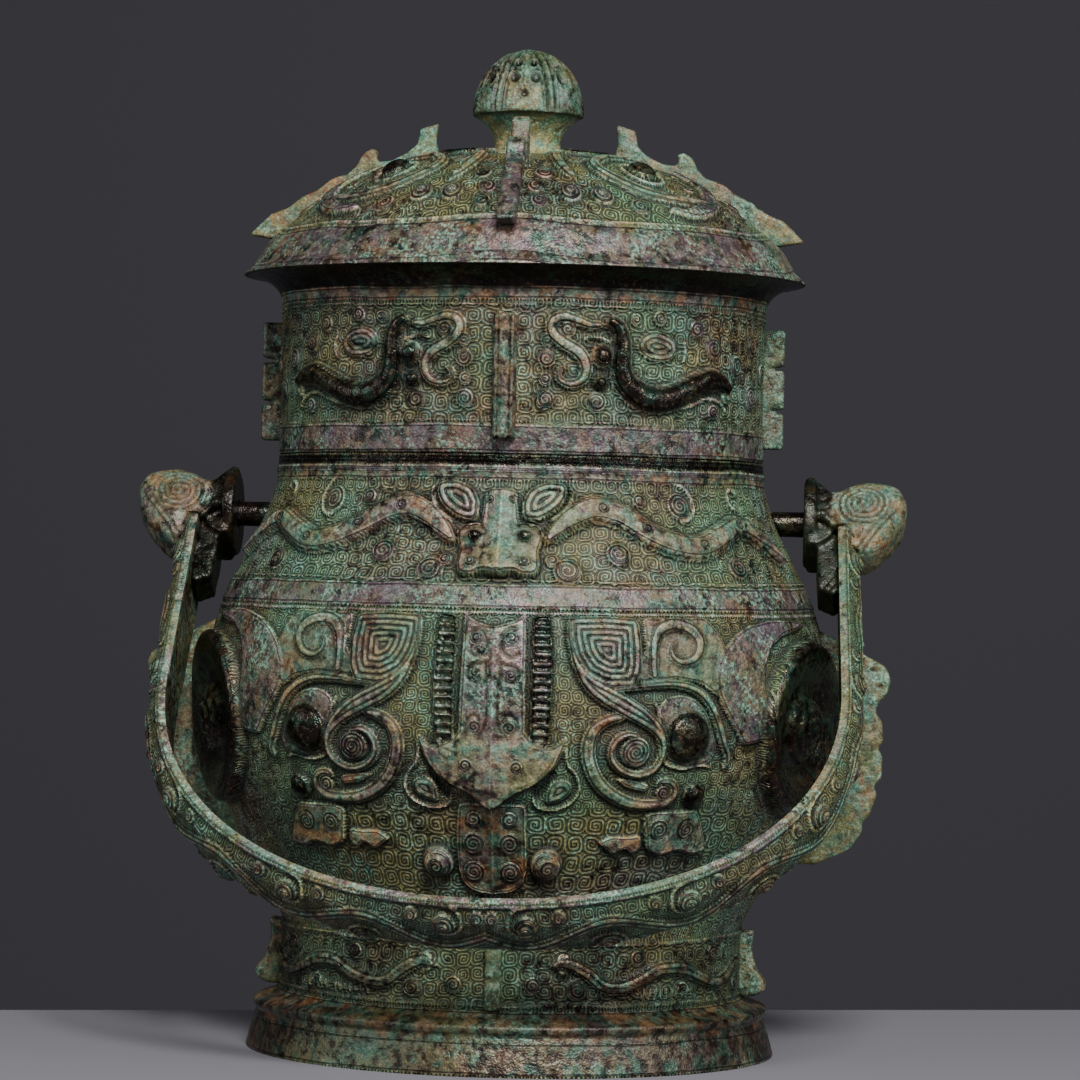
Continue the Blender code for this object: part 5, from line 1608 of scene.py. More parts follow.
@dataclass(frozen=True)
class CollarBand:
    """The collar's band: a winding dragon on each quarter, between two plain bands."""

    def draw(self, chart: Chart) -> None:
        """Draw a quarter of the band on the collar's chart."""
        chart.belt(222, 234, 0.4, 0.5, Tone.PLAIN)
        for level in (234.9, 277.2):
            chart.ring(level, 0.8, 0.55, 0.4)
        chart.belt(278.4, 284, 0.3, 0.4, Tone.RUST)
        # Painted shade: the underside of the flaring rim is made dark.
        chart.belt(282.6, 294, 0.3, 1.6, Tone.DARK)
        body = [
            (22.6, 272.6, 2.0), (25.6, 269.4, 3.1), (26.6, 263.0, 3.8), (26.5, 256.4, 4.1),
            (27.4, 250.4, 4.4), (30.4, 246.2, 4.6), (34.4, 244.2, 4.7), (39.4, 245.0, 4.6),
            (44.8, 248.4, 4.4), (50.8, 252.0, 4.0), (55.4, 251.8, 3.2), (58.4, 248.2, 2.2),
        ]
        chart.band([(*spot[:2], spot[2] + 1.0) for spot in body], 0.9, edge=0.5, taper=0.02)
        chart.band(body, 4.3, edge=1.2, taper=0.02, crown=0.6, tone=Tone.DARK)
        for angle in 28.5 + 1.65 * np.arange(16):
            level = float(np.interp(angle, *np.array(body[4:]).T[:2]))
            chart.groove([(angle - 0.6, level - 1.4), (angle + 0.3, level + 0.8), (angle + 1.2, level)], 0.4,
                         0.4, 1.4)
        chart.boss(57.8, 246.4, 2.6, 2.6, base=1.0)
        trunk = [
            (22.4, 270.6, 1.8), (19.4, 270.0, 2.1), (16.6, 271.4, 2.3), (13.4, 272.8, 2.5),
            (10.8, 271.2, 2.6), (10.6, 267.0, 2.7), (13.2, 263.2, 2.8), (16.6, 260.0, 2.8),
            (18.2, 255.4, 2.6), (17.4, 250.6, 2.3), (14.6, 248.6, 2.0), (12.0, 250.4, 1.7),
            (12.2, 253.6, 1.4), (14.2, 254.2, 1.1),
        ]
        chart.band(trunk, 2.3, edge=0.6, taper=0.03, pitch=2.1, dip=0.9, crown=0.1)
        chart.boss(14.0, 268.2, 3.2, 1.7, base=0.9, spiral=1.4)
        chart.band([(17.4, 264.8), (20.8, 265.4), (24.0, 264.0)], 1.7, 0.9, edge=0.5)
        chart.boss(21.9, 259.2, 4.6, 1.6, base=0.9)
        chart.boss(21.9, 259.2, 3.4, 4.2, base=1.6, tone=Tone.DARK)
        chart.boss(21.4, 249.9, 2.7, 3.4, base=0.9, tone=Tone.DARK)
        wing = [(30.2, 262.2), (31.0, 266.8), (34.2, 269.6), (38.4, 268.8), (41.8, 265.6), (41.4, 260.2),
                (38.2, 257.6), (33.6, 257.8)]
        chart.patch(wing, [(270, 1.5), (257, 1.7)], edge=0.7, pitch=1.9, dip=0.6)
        chart.groove([(31.6, 262.0), (34.0, 260.8), (37.2, 262.4), (40.0, 261.6)], 1.0, 1.4)
        chart.band([(43.4, 266.4), (44.0, 262.0), (43.2, 257.6)], 1.8, 0.8, edge=0.5)
        chart.band([(41.0, 240.2), (46.4, 242.8), (51.8, 245.4), (57.0, 243.2), (58.8, 238.6)], 1.4, 0.8,
                   edge=0.5)
        chart.bosses([(9.2, 257.6, 3.6, 1.4), (9.0, 243.0, 3.6, -1.4), (9.0, 250.2, 2.6, 1.3),
                      (20.6, 242.4, 4.0, 1.4), (36.6, 273.6, 3.0, 1.3), (30.2, 272.8, 2.4, 1.2),
                      (47.4, 270.2, 3.4, -1.4), (53.0, 263.6, 4.2, 1.5), (53.4, 240.6, 3.0, 1.3),
                      (62.6, 258.0, 4.2, -1.5), (70.4, 247.0, 4.4, 1.5), (71.0, 266.0, 4.2, 1.5),
                      (79.6, 256.4, 4.0, -1.5), (9.4, 264.2, 2.6, 1.3)],
                     1.3, 0.7)


@dataclass(frozen=True)
class DomeFace:
    """The dome's beast mask, one half of it; its levels are radii in millimetres."""

    def draw(self, chart: Chart) -> None:
        """Draw a quarter of the dome on its plan."""
        around = (-10, 20, 45, 70, 100)
        chart.ring(93.2, 0.9, 0.7, 0.4, angles=around)
        chart.ring(100.0, 0.35, 5.6, 1.0, Tone.PLAIN, 0.0, around)
        chart.ring(106.0, 0.3, 3.0, 0.6, Tone.PLAIN, 0.0, around)
        horn = [(64, 84, 1.4), (58, 82.0, 2.0), (51, 81.4, 2.6), (44, 80.0, 3.0), (37.6, 76.4, 3.2),
                (33.0, 71.4, 3.3), (29.8, 65.4, 3.2), (29.2, 59.4, 3.0), (32.4, 53.0, 2.9), (38.0, 48.4, 2.8),
                (46.0, 44.2, 2.6), (55.0, 43.0, 2.4), (64.0, 46.0, 1.8), (68.0, 49.6, 1.2)]
        chart.band(horn, 2.4, edge=0.7, taper=0.03, pitch=2.0, dip=0.6, crown=0.35)
        leaf = [(40, 87.5, 1.2), (48, 87.6, 2.4), (57, 83.6, 3.2), (65, 77.0, 3.4), (72, 69.0, 3.0),
                (77, 61.0, 2.2), (80, 55.0, 1.2)]
        chart.band(leaf, 2.7, edge=0.8, taper=0.03, rim=0.7, tone=Tone.PLAIN)
        chart.boss(46.5, 62.5, 5.4, 4.6, base=0.8, tone=Tone.DARK)
        chart.band(chart.whorl(46.5, 62.5, 7.6, 7.8, 0, 360), 1.5, 0.9, edge=0.5, taper=0)
        chart.boss(60.0, 60.5, 4.0, 1.9, base=0.9, spiral=1.5)
        snout = [(18.6, 72.0, 2.2), (17.0, 64.0, 2.6), (16.4, 55.0, 2.8), (17.6, 46.0, 2.8),
                 (21.0, 38.0, 2.4)]
        chart.band(snout, 2.0, edge=0.7, pitch=2.0, dip=0.6)
        for angle, radius in ((15.5, 80.0), (24.2, 80.6)):
            chart.boss(angle, radius, 4.5, 2.0, base=0.8, spiral=1.5)
            chart.boss(angle, radius, 1.8, 3.0, base=1.6)
        chart.bosses([
            (7.0, 84.4, 3.4, 1.4), (6.4, 76.4, 3.4, 1.4), (9.4, 66.4, 3.6, -1.4), (9.6, 56.0, 3.6, 1.4),
            (33.0, 85.4, 3.8, 1.5), (72.0, 84.4, 3.8, 1.5), (82.0, 78.0, 3.8, -1.5), (83.0, 66.0, 3.4, 1.4),
            (24.6, 49.6, 3.6, 1.4), (70.0, 58.0, 3.8, -1.5), (38.6, 70.0, 2.4, 1.2), (60.0, 72.0, 2.6, 1.2),
        ], 1.3, 0.7)
        curl = [(24.0, 34.0, 1.5), (36.0, 36.4, 2.0), (50.0, 36.8, 2.2), (64.0, 34.6, 2.2), (76.0, 30.0, 1.8)]
        chart.band(curl, 2.6, edge=0.6, crown=0.4, tone=Tone.DARK)
        chart.band([(20, 27.0, 1.4), (40, 25.6, 1.8), (62, 25.0, 1.8), (80, 26.0, 1.2)], 2.2, edge=0.6)
        chart.boss(44.0, 30.8, 2.4, 1.7, base=0.8, spiral=1.2)


@dataclass
class Handle(Casting):
    """The swing handle: a decorated strap with a beast's head and a round plate at each end."""

    node: str = "handle"
    body: str = "handle_body"
    slot: str = "handle_bronze"
    rest_angle: float = 38.0
    half_width: float = 0.1230
    top_half_width: float = 0.1205
    length: float = 0.1806
    bend_height: float = 0.0915
    bend_power: float = 2.2
    breadth: float = 0.0290
    edge: float = 0.0028
    crown: float = 0.0042
    plate_radius: float = 0.0160
    plate_face: float = 0.1076
    plate_back: float = 0.1122
    head_breadth: float = 0.0270
    root_drop: float = 0.0360
    socket_depth: float = 0.0110
    pin_clearance: float = 0.0004
    head_cell: float = 0.00078
    ring_radius: float = 0.14
    strap_columns: int = 620
    rows: int = 40

    def build(self) -> None:
        """Make the strap and both heads, and swing them to where they rest."""
        self.keep(self.strap(), STRAP_FINISH)
        for side, sign in (("right", 1.0), ("left", -1.0)):
            self.keep(self.head(f"handle_head_{side}", sign), HEAD_FINISH)

    def middle(self, share: float) -> tuple[float, float]:
        """A point of the strap's inner face: half width and drop, 0 at a head and 1 at the bottom."""
        straight = self.length - self.bend_height
        split, start = 0.38, self.plate_radius * 0.75
        if share < split:
            part = share / split
            wide = self.top_half_width + (self.half_width - self.top_half_width) * part
            return wide, start + (straight - start) * part
        turn = math.pi / 2 * (share - split) / (1 - split)
        power = 2 / self.bend_power
        wide = self.half_width * max(0.0, math.cos(turn)) ** power
        return wide, straight + self.bend_height * math.sin(turn) ** power

    def path(self) -> tuple[np.ndarray, np.ndarray]:
        """The inner face's line from the left head to the right one, and its lengths."""
        shares = np.linspace(0, 1, 1200)
        half = np.array([self.middle(float(share)) for share in shares])
        right = np.stack([half[:, 0], -half[:, 1]], 1)
        left = right * (-1, 1)
        line = np.vstack([left, right[-2::-1]])
        steps = np.hypot(*np.diff(line, axis=0).T)
        return line, np.concatenate([[0.0], np.cumsum(steps)])

    def swung(self, spots: np.ndarray) -> np.ndarray:
        """Turn places round the pivot from hanging straight down to the angle of rest."""
        turn = math.radians(self.rest_angle)
        y = spots[:, 1] * math.cos(turn) + spots[:, 2] * math.sin(turn)
        z = -spots[:, 1] * math.sin(turn) + spots[:, 2] * math.cos(turn)
        return np.stack([spots[:, 0], y + PIVOT.y, z + PIVOT.z], 1)

    def section(self) -> list[tuple[float, float]]:
        """The strap's section as lift and breadth: a flat inner face and a crowned outer one."""
        half = self.breadth / 2
        across = -half + 2 * half * np.arange(self.rows + 1) / self.rows
        swell = self.crown * smooth((half - np.abs(across)) / (half * 0.62))
        outer = list(zip(self.edge + swell, across))
        inner = [(0.0, half - 0.3 * MM), (-0.15 * MM, half * 0.8), (0.0, 0.0), (-0.15 * MM, -half * 0.8),
                 (0.0, -half + 0.3 * MM)]
        edge_high = [(self.edge * share, half) for share in (0.66, 0.33)]
        edge_low = [(self.edge * share, -half) for share in (0.33, 0.66)]
        return outer + edge_high + inner + edge_low

    def strap(self) -> Piece:
        """The strap, spun as half a ring and then laid along its path."""
        section = np.array(self.section())
        ring = np.stack([self.ring_radius + section[:, 0], section[:, 1]], 1)
        item = turned("handle_strap", ring, -90.0, 180.0, round(self.strap_columns / COARSE))
        spots = coordinates(item)
        mark = np.empty(len(spots), np.int32)
        item.data.attributes["mark"].data.foreach_get("value", mark)
        angle = np.degrees(np.arctan2(spots[:, 0], -spots[:, 1]))
        share = np.clip((angle + 90) / 180, 0, 1)
        line, length = self.path()
        along = share * length[-1]
        x = np.interp(along, length, line[:, 0])
        z = np.interp(along, length, line[:, 1])
        slope = np.stack([np.gradient(line[:, 0], length), np.gradient(line[:, 1], length)], 1)
        slope /= np.linalg.norm(slope, axis=1)[:, None]
        out_x = np.interp(along, length, slope[:, 1])
        out_z = -np.interp(along, length, slope[:, 0])
        lift, across = section[mark, 0], section[mark, 1]
        half = length[-1] / 2
        chart = StrapBand(half, self.breadth).chart()
        values = chart.read(across, np.abs(along - half))
        outer = mark <= self.rows
        base = self.swung(np.stack([x, across, z], 1))
        skin = corrosion(base, 0.6)
        rim_fade = smooth((self.breadth / 2 - np.abs(across)) / (0.6 * MM))
        lift = (lift + np.where(outer, values["lift"] * rim_fade - 0.1 * MM, 0)
                + np.where(lift > self.edge / 2, skin, 0))
        waver = np.where(np.abs(across) > self.breadth / 2 - 0.1 * MM, skin, 0) * np.sign(across)
        made = self.swung(np.stack([x + out_x * lift, across + waver, z + out_z * lift], 1))
        moved(item, made)
        side = np.abs(across) > self.breadth / 2 - 1.2 * MM
        flank = side & (section[mark, 0] > 0.1 * MM)
        found = {name: np.where(outer, layer, 0.0) for name, layer in values.items()}
        # Painted shade: the inner face is made dark. The side edges are made paler and brighter, a painted
        # highlight along them.
        set_vectors(
            item, relief=(np.where(outer, values["cover"], 1.0), np.where(flank, 0.6, found["plain"]),
                          np.where(outer | side, 0.0, 0.4)),
            depth=(found["recess"], np.where(outer, values["edge"], np.where(side, 0.5, 0.0)), found["rust"]),
            curl=(found["curl_u"], found["curl_v"], found["curl"]),
            rim=(np.where(outer, values["inset"], BARE) + RIM_SHIFT, values["rate"], 0.0),
            wall=(across, along - half, 0.0050),
        )
        settle(item, 50.0)
        return item

    def head(self, name: str, sign: float) -> Piece:
        """A beast's head looking outwards, with its plate, the tongue inside and the strap's root.

        A ridge of nine beads runs down each flank from the plate, and a knob lies under it.

        Args:
            name: The piece's name.
            sign: 1 on the right and -1 on the left.

        Returns:
            The head, closed and swung to its place.
        """
        parts = [self.skull(), *self.root()]
        for flank in (-1, 1):
            for share in np.linspace(0, 1, 9):
                place = (self.plate_back + (2.4 + 13.0 * share) * MM, flank * (11.9 - 3.5 * share) * MM,
                         (-4.4 - 11.8 * share) * MM)
                size = (2.5 if share == 0 else 1.7 - 0.4 * share) * MM
                parts.append(self.ball(place, (size, size, size), 16))
            parts.append(self.ball((self.plate_back + 11 * MM, flank * 6 * MM, -21 * MM),
                                   (0.0030, 0.0032, 0.0058), 16))
        parts.append(rod(self.plate_radius, self.plate_face, self.plate_back, 48))
        select_none()
        for part in parts:
            part.select_set(True)
        bpy.context.view_layer.objects.active = parts[0]
        bpy.ops.object.join()
        item = bpy.context.object
        item.name = item.data.name = name
        bpy.ops.object.transform_apply(location=True, rotation=True, scale=True)
        remeshed(item, self.head_cell)
        modified(item, "SMOOTH", factor=0.5, iterations=5)
        self.socket(item)
        cut, inner = self.carve(item)
        spots = coordinates(item)
        if sign < 0:
            spots[:, 0] *= -1
            item.data.flip_normals()
        moved(item, self.swung(spots))
        select_only(item)
        bpy.ops.object.mode_set(mode="EDIT")
        bpy.ops.mesh.select_all(action="SELECT")
        bpy.ops.mesh.normals_make_consistent(inside=False)
        bpy.ops.object.mode_set(mode="OBJECT")
        weathered_and_shaded(item, 0.7, (0.15, 0.0, 0.1))
        self.shade(item, cut, inner)
        return item

    def shade(self, item: Piece, cut: np.ndarray, inner: np.ndarray) -> None:
        """Tell the finish where the head is cut, and paint shade with verdigris where it lies in shadow
        behind the plate.
        """
        values = np.empty(len(item.data.vertices) * 3)
        for name, column, extra in (("depth", 0, np.maximum(cut, inner * 0.95)), ("relief", 2, inner * 0.8)):
            layer = item.data.attributes[name].data
            layer.foreach_get("vector", values)
            table = values.reshape(-1, 3)
            table[:, column] = np.clip(np.maximum(table[:, column], extra), 0, 1)
            layer.foreach_set("vector", table.ravel())

    def ball(self, centre: tuple[float, float, float], radii: tuple[float, float, float],
             segments: int = 40) -> Piece:
        """An ellipsoid to build the head from."""
        select_none()
        bpy.ops.mesh.primitive_uv_sphere_add(segments=segments, ring_count=segments // 2, radius=1.0,
                                             location=centre, scale=radii)
        return bpy.context.object

    def skull(self) -> Piece:
        """The head itself: a drop, broad above and pointed below, with flat flanks."""
        outline = np.array([(0.8, 9.4), (8.2, 10.8), (14.5, 14.6), (24.5, 15.4), (31.6, 13.2), (34.0, 8.0),
                            (33.4, 0.6), (30.2, -6.6), (25.4, -13.0), (20.0, -18.4), (17.2, -19.4),
                            (14.8, -17.4), (10.6, -9.8), (5.4, -2.6), (1.0, 2.6)]) - (19.0, 1.0)
        turns = np.arctan2(outline[:, 1], outline[:, 0])
        order = np.argsort(turns)
        item = self.ball((0, 0, 0), (1, 1, 1), 72)
        bpy.ops.object.transform_apply(location=False, rotation=False, scale=True)
        spots = coordinates(item)
        flat = np.hypot(spots[:, 0], spots[:, 1])
        turn = np.arctan2(spots[:, 1], spots[:, 0])
        reach = np.interp(turn, turns[order], np.hypot(*outline.T)[order], period=FULL) * MM
        side = np.sign(spots[:, 2]) * np.abs(spots[:, 2]) ** 0.50
        made = np.stack([
            self.plate_back + 19 * MM + reach * flat * np.cos(turn), side * self.head_breadth * 0.46,
            1 * MM + reach * flat * np.sin(turn),
        ], 1)
        moved(item, made)
        return item

    def root(self) -> list[Piece]:
        """The plate's block with its flaring corner, the tongue inside the strap and the strap's end."""
        inner, back, face = self.top_half_width, self.plate_back, self.plate_face
        block = slab([(face + 0.6 * MM, 0.0), (face + 0.4 * MM, 0.0115), (face + 0.2 * MM, 0.0152),
                      (back - 1.6 * MM, 0.0162), (back + 1.4 * MM, 0.0130), (back + 5.0 * MM, 0.0090),
                      (back + 6.0 * MM, -0.0120), (back + 1.0 * MM, -0.0160), (face + 1.5 * MM, -0.0155)],
                     0.0190)
        tongue = slab([
            (back + 1.2 * MM, -0.0100), (inner + 1.0 * MM, -0.0060), (inner + 1.2 * MM, -self.root_drop),
            (inner - 0.8 * MM, -self.root_drop * 1.06), (back + 1.4 * MM, -self.root_drop * 0.98),
            (back + 0.6 * MM, -self.plate_radius * 1.3),
        ], 0.0150)
        end = slab([
            (inner, -0.0090), (inner + self.edge + self.crown * 0.5, -0.0090),
            (inner + self.edge + self.crown * 0.5, -0.0150), (inner + self.edge, -0.0200), (inner, -0.0200),
        ], self.breadth * 0.96)
        return [block, tongue, end]

    def carve(self, item: Piece) -> tuple[np.ndarray, np.ndarray]:
        """Cut the flank's great scroll, the jaw's lines and the strap's edge lines.

        Args:
            item: The head as it was remeshed.

        Returns:
            How deep each vertex was cut, from 0 to 1, and which ones lie inside by the plate.
        """
        spots, normals = coordinates(item), directions(item)
        x = (spots[:, 0] - self.plate_back) / MM
        z = spots[:, 2] / MM
        flank = smooth((np.abs(normals[:, 1]) - 0.15) / 0.35)
        # Painted shade: this mask marks the parts beside and under the plate that lie in shadow, which the
        # finish darkens and greens.
        inner = np.maximum(smooth((7.0 - x) / 2.5), smooth((-8.0 - z) / 2) * smooth((13.0 - x) / 2))
        on_head = 1 - smooth((8.0 - x + np.minimum(z + 3, 0) * 0.9) / 2.0)
        reach = np.hypot(x - 17.6, (z - 2.0) * 1.05)
        phase = reach / 2.3 - np.arctan2(z - 2.0, x - 17.6) / FULL
        cut = (0.5 - 0.5 * np.cos(FULL * phase)) ** 2 * smooth((11.0 - reach) / 1.0)
        jaw = (x - 33.4) * 0.82 - (z - 0.6) * 0.57
        for ring in (-4.4, -2.2):
            cut = np.maximum(cut, np.exp(-((jaw - ring) / 0.42) ** 2) * smooth((3.0 - z) / 3))
        cut = cut * flank
        top = smooth((normals[:, 2] - 0.45) / 0.3)
        rows = np.exp(-(((np.abs(spots[:, 1]) / MM + 1.4) % 3.2 - 1.6) / 0.45) ** 2)
        cut = np.maximum(cut, top * rows * 0.7) * on_head
        edge_line = (np.abs(spots[:, 1]) > self.breadth * 0.46) & (x > 8) & (x < 14)
        lines = np.exp(-(((x - 8.4) % 1.9 - 0.95) / 0.35) ** 2)
        cut = np.maximum(cut, np.where(edge_line, 0.5 * lines, 0))
        moved(item, spots - normals * (cut * 0.85 * MM)[:, None])
        return cut, inner

    def socket(self, item: Piece) -> None:
        """Bore the hole that turns on the pin."""
        start, end = self.plate_face - 3 * MM, self.plate_face + self.socket_depth
        cutter = rod(FORM.pin_radius + self.pin_clearance, start, end)
        modified(item, "BOOLEAN", operation="DIFFERENCE", solver="EXACT", object=cutter)
        bpy.data.objects.remove(cutter, do_unlink=True)


@dataclass(frozen=True)
class StrapBand:
    """The strap's relief from the middle of its bottom to a head; its places are millimetres."""

    half_length: float
    breadth: float

    def chart(self) -> Chart:
        """Draw half the strap and finish the chart."""
        half = self.breadth / 2
        chart = Chart(lambda across, along: (across * MM, along * MM),
                      ((-half - 0.001, -0.008), (half + 0.001, self.half_length + 0.002)))
        last = self.half_length / MM
        for side in (-1, 1):
            chart.band([(side * 13.4, -8), (side * 13.4, last * 0.5), (side * 13.4, last)], 0.9, 0.85,
                       edge=0.5, taper=0, tone=Tone.PLAIN)
        period = 56.0
        steps = [-7 + 3.5 * index for index in range(int(last / 3.5) + 3)]
        dragon = [(6.2 * math.sin(FULL * along / period), along, 3.0) for along in steps]
        chart.band(dragon, 1.7, edge=0.9, taper=0, crown=0.4, pitch=1.9, dip=0.6)
        for index in range(int(last / 28) + 1):
            along = 14 + 28 * index
            side = 2 * (index % 2) - 1
            chart.boss(side * 6.6, along, 4.4, 2.0, base=0.9, spiral=1.5 * side)
            chart.boss(side * 6.6, along, 1.7, 2.8, base=1.4)
            chart.band(chart.whorl(side * 7.0, along, 5.6, 6.6, 30, 230 * side), 1.4, 0.8, edge=0.5)
            chart.bosses([(side * 9.6, along + shift, 2.6, 1.2 * side) for shift in (-11.5, 11.5)], 1.4, 0.7)
        chart.finish()
        return chart


Value = Socket | float | tuple[float, ...]


class Net:
    """Adds nodes to one node tree and links them."""

    def __init__(self, tree: bpy.types.NodeTree):
        """Work on a tree."""
        self.tree = tree

    def node(self, kind: str, **settings: object) -> bpy.types.Node:
        """Add a node and set what is named."""
        made = self.tree.nodes.new(kind)
        for name, value in settings.items():
            setattr(made, name, value)
        return made

    def feed(self, socket: Socket, value: Value) -> None:
        """Link a socket to another one, or give it a constant."""
        if isinstance(value, Socket):
            self.tree.links.new(value, socket)
        elif isinstance(value, tuple) and socket.type == "RGBA":
            socket.default_value = (*value, 1.0)
        else:
            socket.default_value = value

    def math(self, operation: str, *values: Value, clamp: bool = False) -> Socket:
        """A sum on numbers."""
        made = self.node("ShaderNodeMath", operation=operation, use_clamp=clamp)
        for socket, value in zip(made.inputs, values):
            self.feed(socket, value)
        return made.outputs[0]

    def total(self, *terms: tuple[Value, float], offset: float = 0.0) -> Socket:
        """Weighted numbers added up, and held between 0 and 1."""
        value: Value = offset
        for index, (term, weight) in enumerate(terms):
            value = self.math("MULTIPLY_ADD", term, weight, value, clamp=index == len(terms) - 1)
        return value

    def times(self, *values: Value) -> Socket:
        """Numbers multiplied."""
        value = values[0]
        for other in values[1:]:
            value = self.math("MULTIPLY", value, other)
        return value

    def vector(self, operation: str, first: Value, second: Value) -> Socket:
        """A sum on vectors."""
        made = self.node("ShaderNodeVectorMath", operation=operation)
        self.feed(made.inputs[0], first)
        self.feed(made.inputs["Scale"] if operation == "SCALE" else made.inputs[1], second)
        return made.outputs["Value" if operation == "LENGTH" else "Vector"]

    def parts(self, value: Socket) -> tuple[Socket, ...]:
        """The three numbers of a vector."""
        made = self.node("ShaderNodeSeparateXYZ")
        self.feed(made.inputs[0], value)
        return tuple(made.outputs)

    def joined(self, *values: Value) -> Socket:
        """A vector of three numbers."""
        made = self.node("ShaderNodeCombineXYZ")
        for socket, value in zip(made.inputs, values):
            self.feed(socket, value)
        return made.outputs[0]

    def mix(self, share: Value, low: Value, high: Value) -> Socket:
        """A colour between two others."""
        made = self.node("ShaderNodeMix", data_type="RGBA")
        self.feed(made.inputs[0], share)
        self.feed(made.inputs[6], low)
        self.feed(made.inputs[7], high)
        return made.outputs[2]

    def noise(self, place: Value, size: float, detail: float = 2.0, seed: float = 0.0) -> Socket:
        """Noise between 0 and 1 whose swells are as long as size, in metres."""
        shifted = self.vector("ADD", place, (seed * 3.71, seed * 1.93, seed * 5.07))
        made = self.node("ShaderNodeTexNoise")
        self.feed(made.inputs["Vector"], shifted)
        made.inputs["Scale"].default_value = 1 / size
        made.inputs["Detail"].default_value = detail
        return made.outputs[0]

    def step(self, value: Value, low: float, high: float) -> Socket:
        """Ease from 0 to 1 while a number goes from low to high."""
        made = self.node("ShaderNodeMapRange", interpolation_type="SMOOTHSTEP")
        self.feed(made.inputs["Value"], value)
        made.inputs["From Min"].default_value = low
        made.inputs["From Max"].default_value = high
        return made.outputs[0]

    def spiral(self, reach: Value, across: Value, up: Value, low: float) -> Socket:
        """The line of a spiral whose turns lie 1 apart, from 0 beside it to 1 on it."""
        turn = self.math("DIVIDE", self.math("ARCTAN2", up, across), FULL)
        phase = self.math("SUBTRACT", reach, turn)
        wave = self.math("MULTIPLY_ADD", self.math("COSINE", self.math("MULTIPLY", phase, FULL)), 0.5, 0.5)
        return self.step(wave, low, 0.8)

    def close(self, value: Value, middle: float, wide: float, narrow: float) -> Socket:
        """Ease from 0 to 1 while a number comes from as far as wide to narrow of the middle."""
        return self.step(self.math("ABSOLUTE", self.math("SUBTRACT", value, middle)), wide, narrow)

    def fade(self, value: Value, amount: float) -> Socket:
        """A factor: 1 where a number is 0, and changed by the amount where it is 1."""
        return self.math("MULTIPLY_ADD", value, amount, 1.0)

    def attribute(self, name: str) -> Socket:
        """A mesh attribute's vector."""
        return self.node("ShaderNodeAttribute", attribute_name=name).outputs["Vector"]


def group(name: str, inputs: dict[str, Sequence[str]], outputs: dict[str, Sequence[str]]
          ) -> tuple[Net, bpy.types.bpy_prop_collection, bpy.types.bpy_prop_collection]:
    """Start a node group.

    Args:
        name: The group's name.
        inputs: Names of the input sockets of each kind.
        outputs: Names of the output sockets of each kind.

    Returns:
        The group's net, what comes in and where its results go.
    """
    tree = bpy.data.node_groups.new(name, "ShaderNodeTree")
    for way, kinds in (("INPUT", inputs), ("OUTPUT", outputs)):
        for kind, labels in kinds.items():
            for label in labels:
                tree.interface.new_socket(name=label, in_out=way, socket_type=f"NodeSocket{kind}")
    net = Net(tree)
    return net, net.node("NodeGroupInput").outputs, net.node("NodeGroupOutput").inputs


def leiwen() -> bpy.types.NodeTree:
    """The fine square spirals that fill the ground, and the spirals cut on small bosses."""
    found = bpy.data.node_groups.get("leiwen")
    if found:
        return found
    net, given, results = group("leiwen", {"Vector": ("Wall", "Curl", "Relief", "Place")},
                                {"Float": ("Lines",)})
    cover, plain, _ = net.parts(given["Relief"])
    bend = net.joined(net.noise(given["Place"], 0.016, 1.0, 31), net.noise(given["Place"], 0.016, 1.0, 32),
                      0.0)
    wall = net.vector("ADD", given["Wall"], net.vector("SCALE", bend, 0.0045))
    across, up, _ = net.parts(wall)
    cell = net.math("MAXIMUM", net.parts(given["Wall"])[2], 0.002)
    across, up = net.math("DIVIDE", across, cell), net.math("DIVIDE", up, cell)
    column, row = net.math("FLOOR", across), net.math("FLOOR", up)
    odd = net.math("FLOORED_MODULO", net.math("ADD", column, row), 2.0)
    flip = net.math("MULTIPLY_ADD", odd, -2.0, 1.0)
    x = net.times(net.math("SUBTRACT", net.math("SUBTRACT", across, column), 0.5), flip)
    y = net.math("SUBTRACT", net.math("SUBTRACT", up, row), 0.5)
    fourth = net.math("ADD", net.math("POWER", net.math("ABSOLUTE", x), 3.5),
                      net.math("POWER", net.math("ABSOLUTE", y), 3.5))
    reach = net.math("POWER", fourth, 1 / 3.5)
    ground = net.times(net.spiral(net.math("MULTIPLY", reach, 5.2), x, y, 0.25),
                       net.math("SUBTRACT", 1.0, cover), net.math("SUBTRACT", 1.0, plain))
    curl_u, curl_v, curl = net.parts(given["Curl"])
    reach = net.math("SQRT", net.math("ADD", net.times(curl_u, curl_u), net.times(curl_v, curl_v)))
    spiral = net.times(net.spiral(reach, curl_u, curl_v, 0.3), curl)
    net.feed(results["Lines"], net.math("MAXIMUM", ground, spiral))
    return net.tree


@dataclass(frozen=True)
class Palette:
    """The corroded bronze's colours, in linear light."""

    black: tuple[float, float, float] = (0.018, 0.013, 0.011)
    brown: tuple[float, float, float] = (0.098, 0.062, 0.042)
    mauve: tuple[float, float, float] = (0.250, 0.182, 0.228)
    stone: tuple[float, float, float] = (0.285, 0.232, 0.165)
    olive: tuple[float, float, float] = (0.160, 0.165, 0.050)
    green: tuple[float, float, float] = (0.098, 0.190, 0.086)
    teal: tuple[float, float, float] = (0.045, 0.175, 0.125)
    turquoise: tuple[float, float, float] = (0.260, 0.540, 0.400)
    rust: tuple[float, float, float] = (0.290, 0.122, 0.040)
    tan: tuple[float, float, float] = (0.450, 0.300, 0.165)


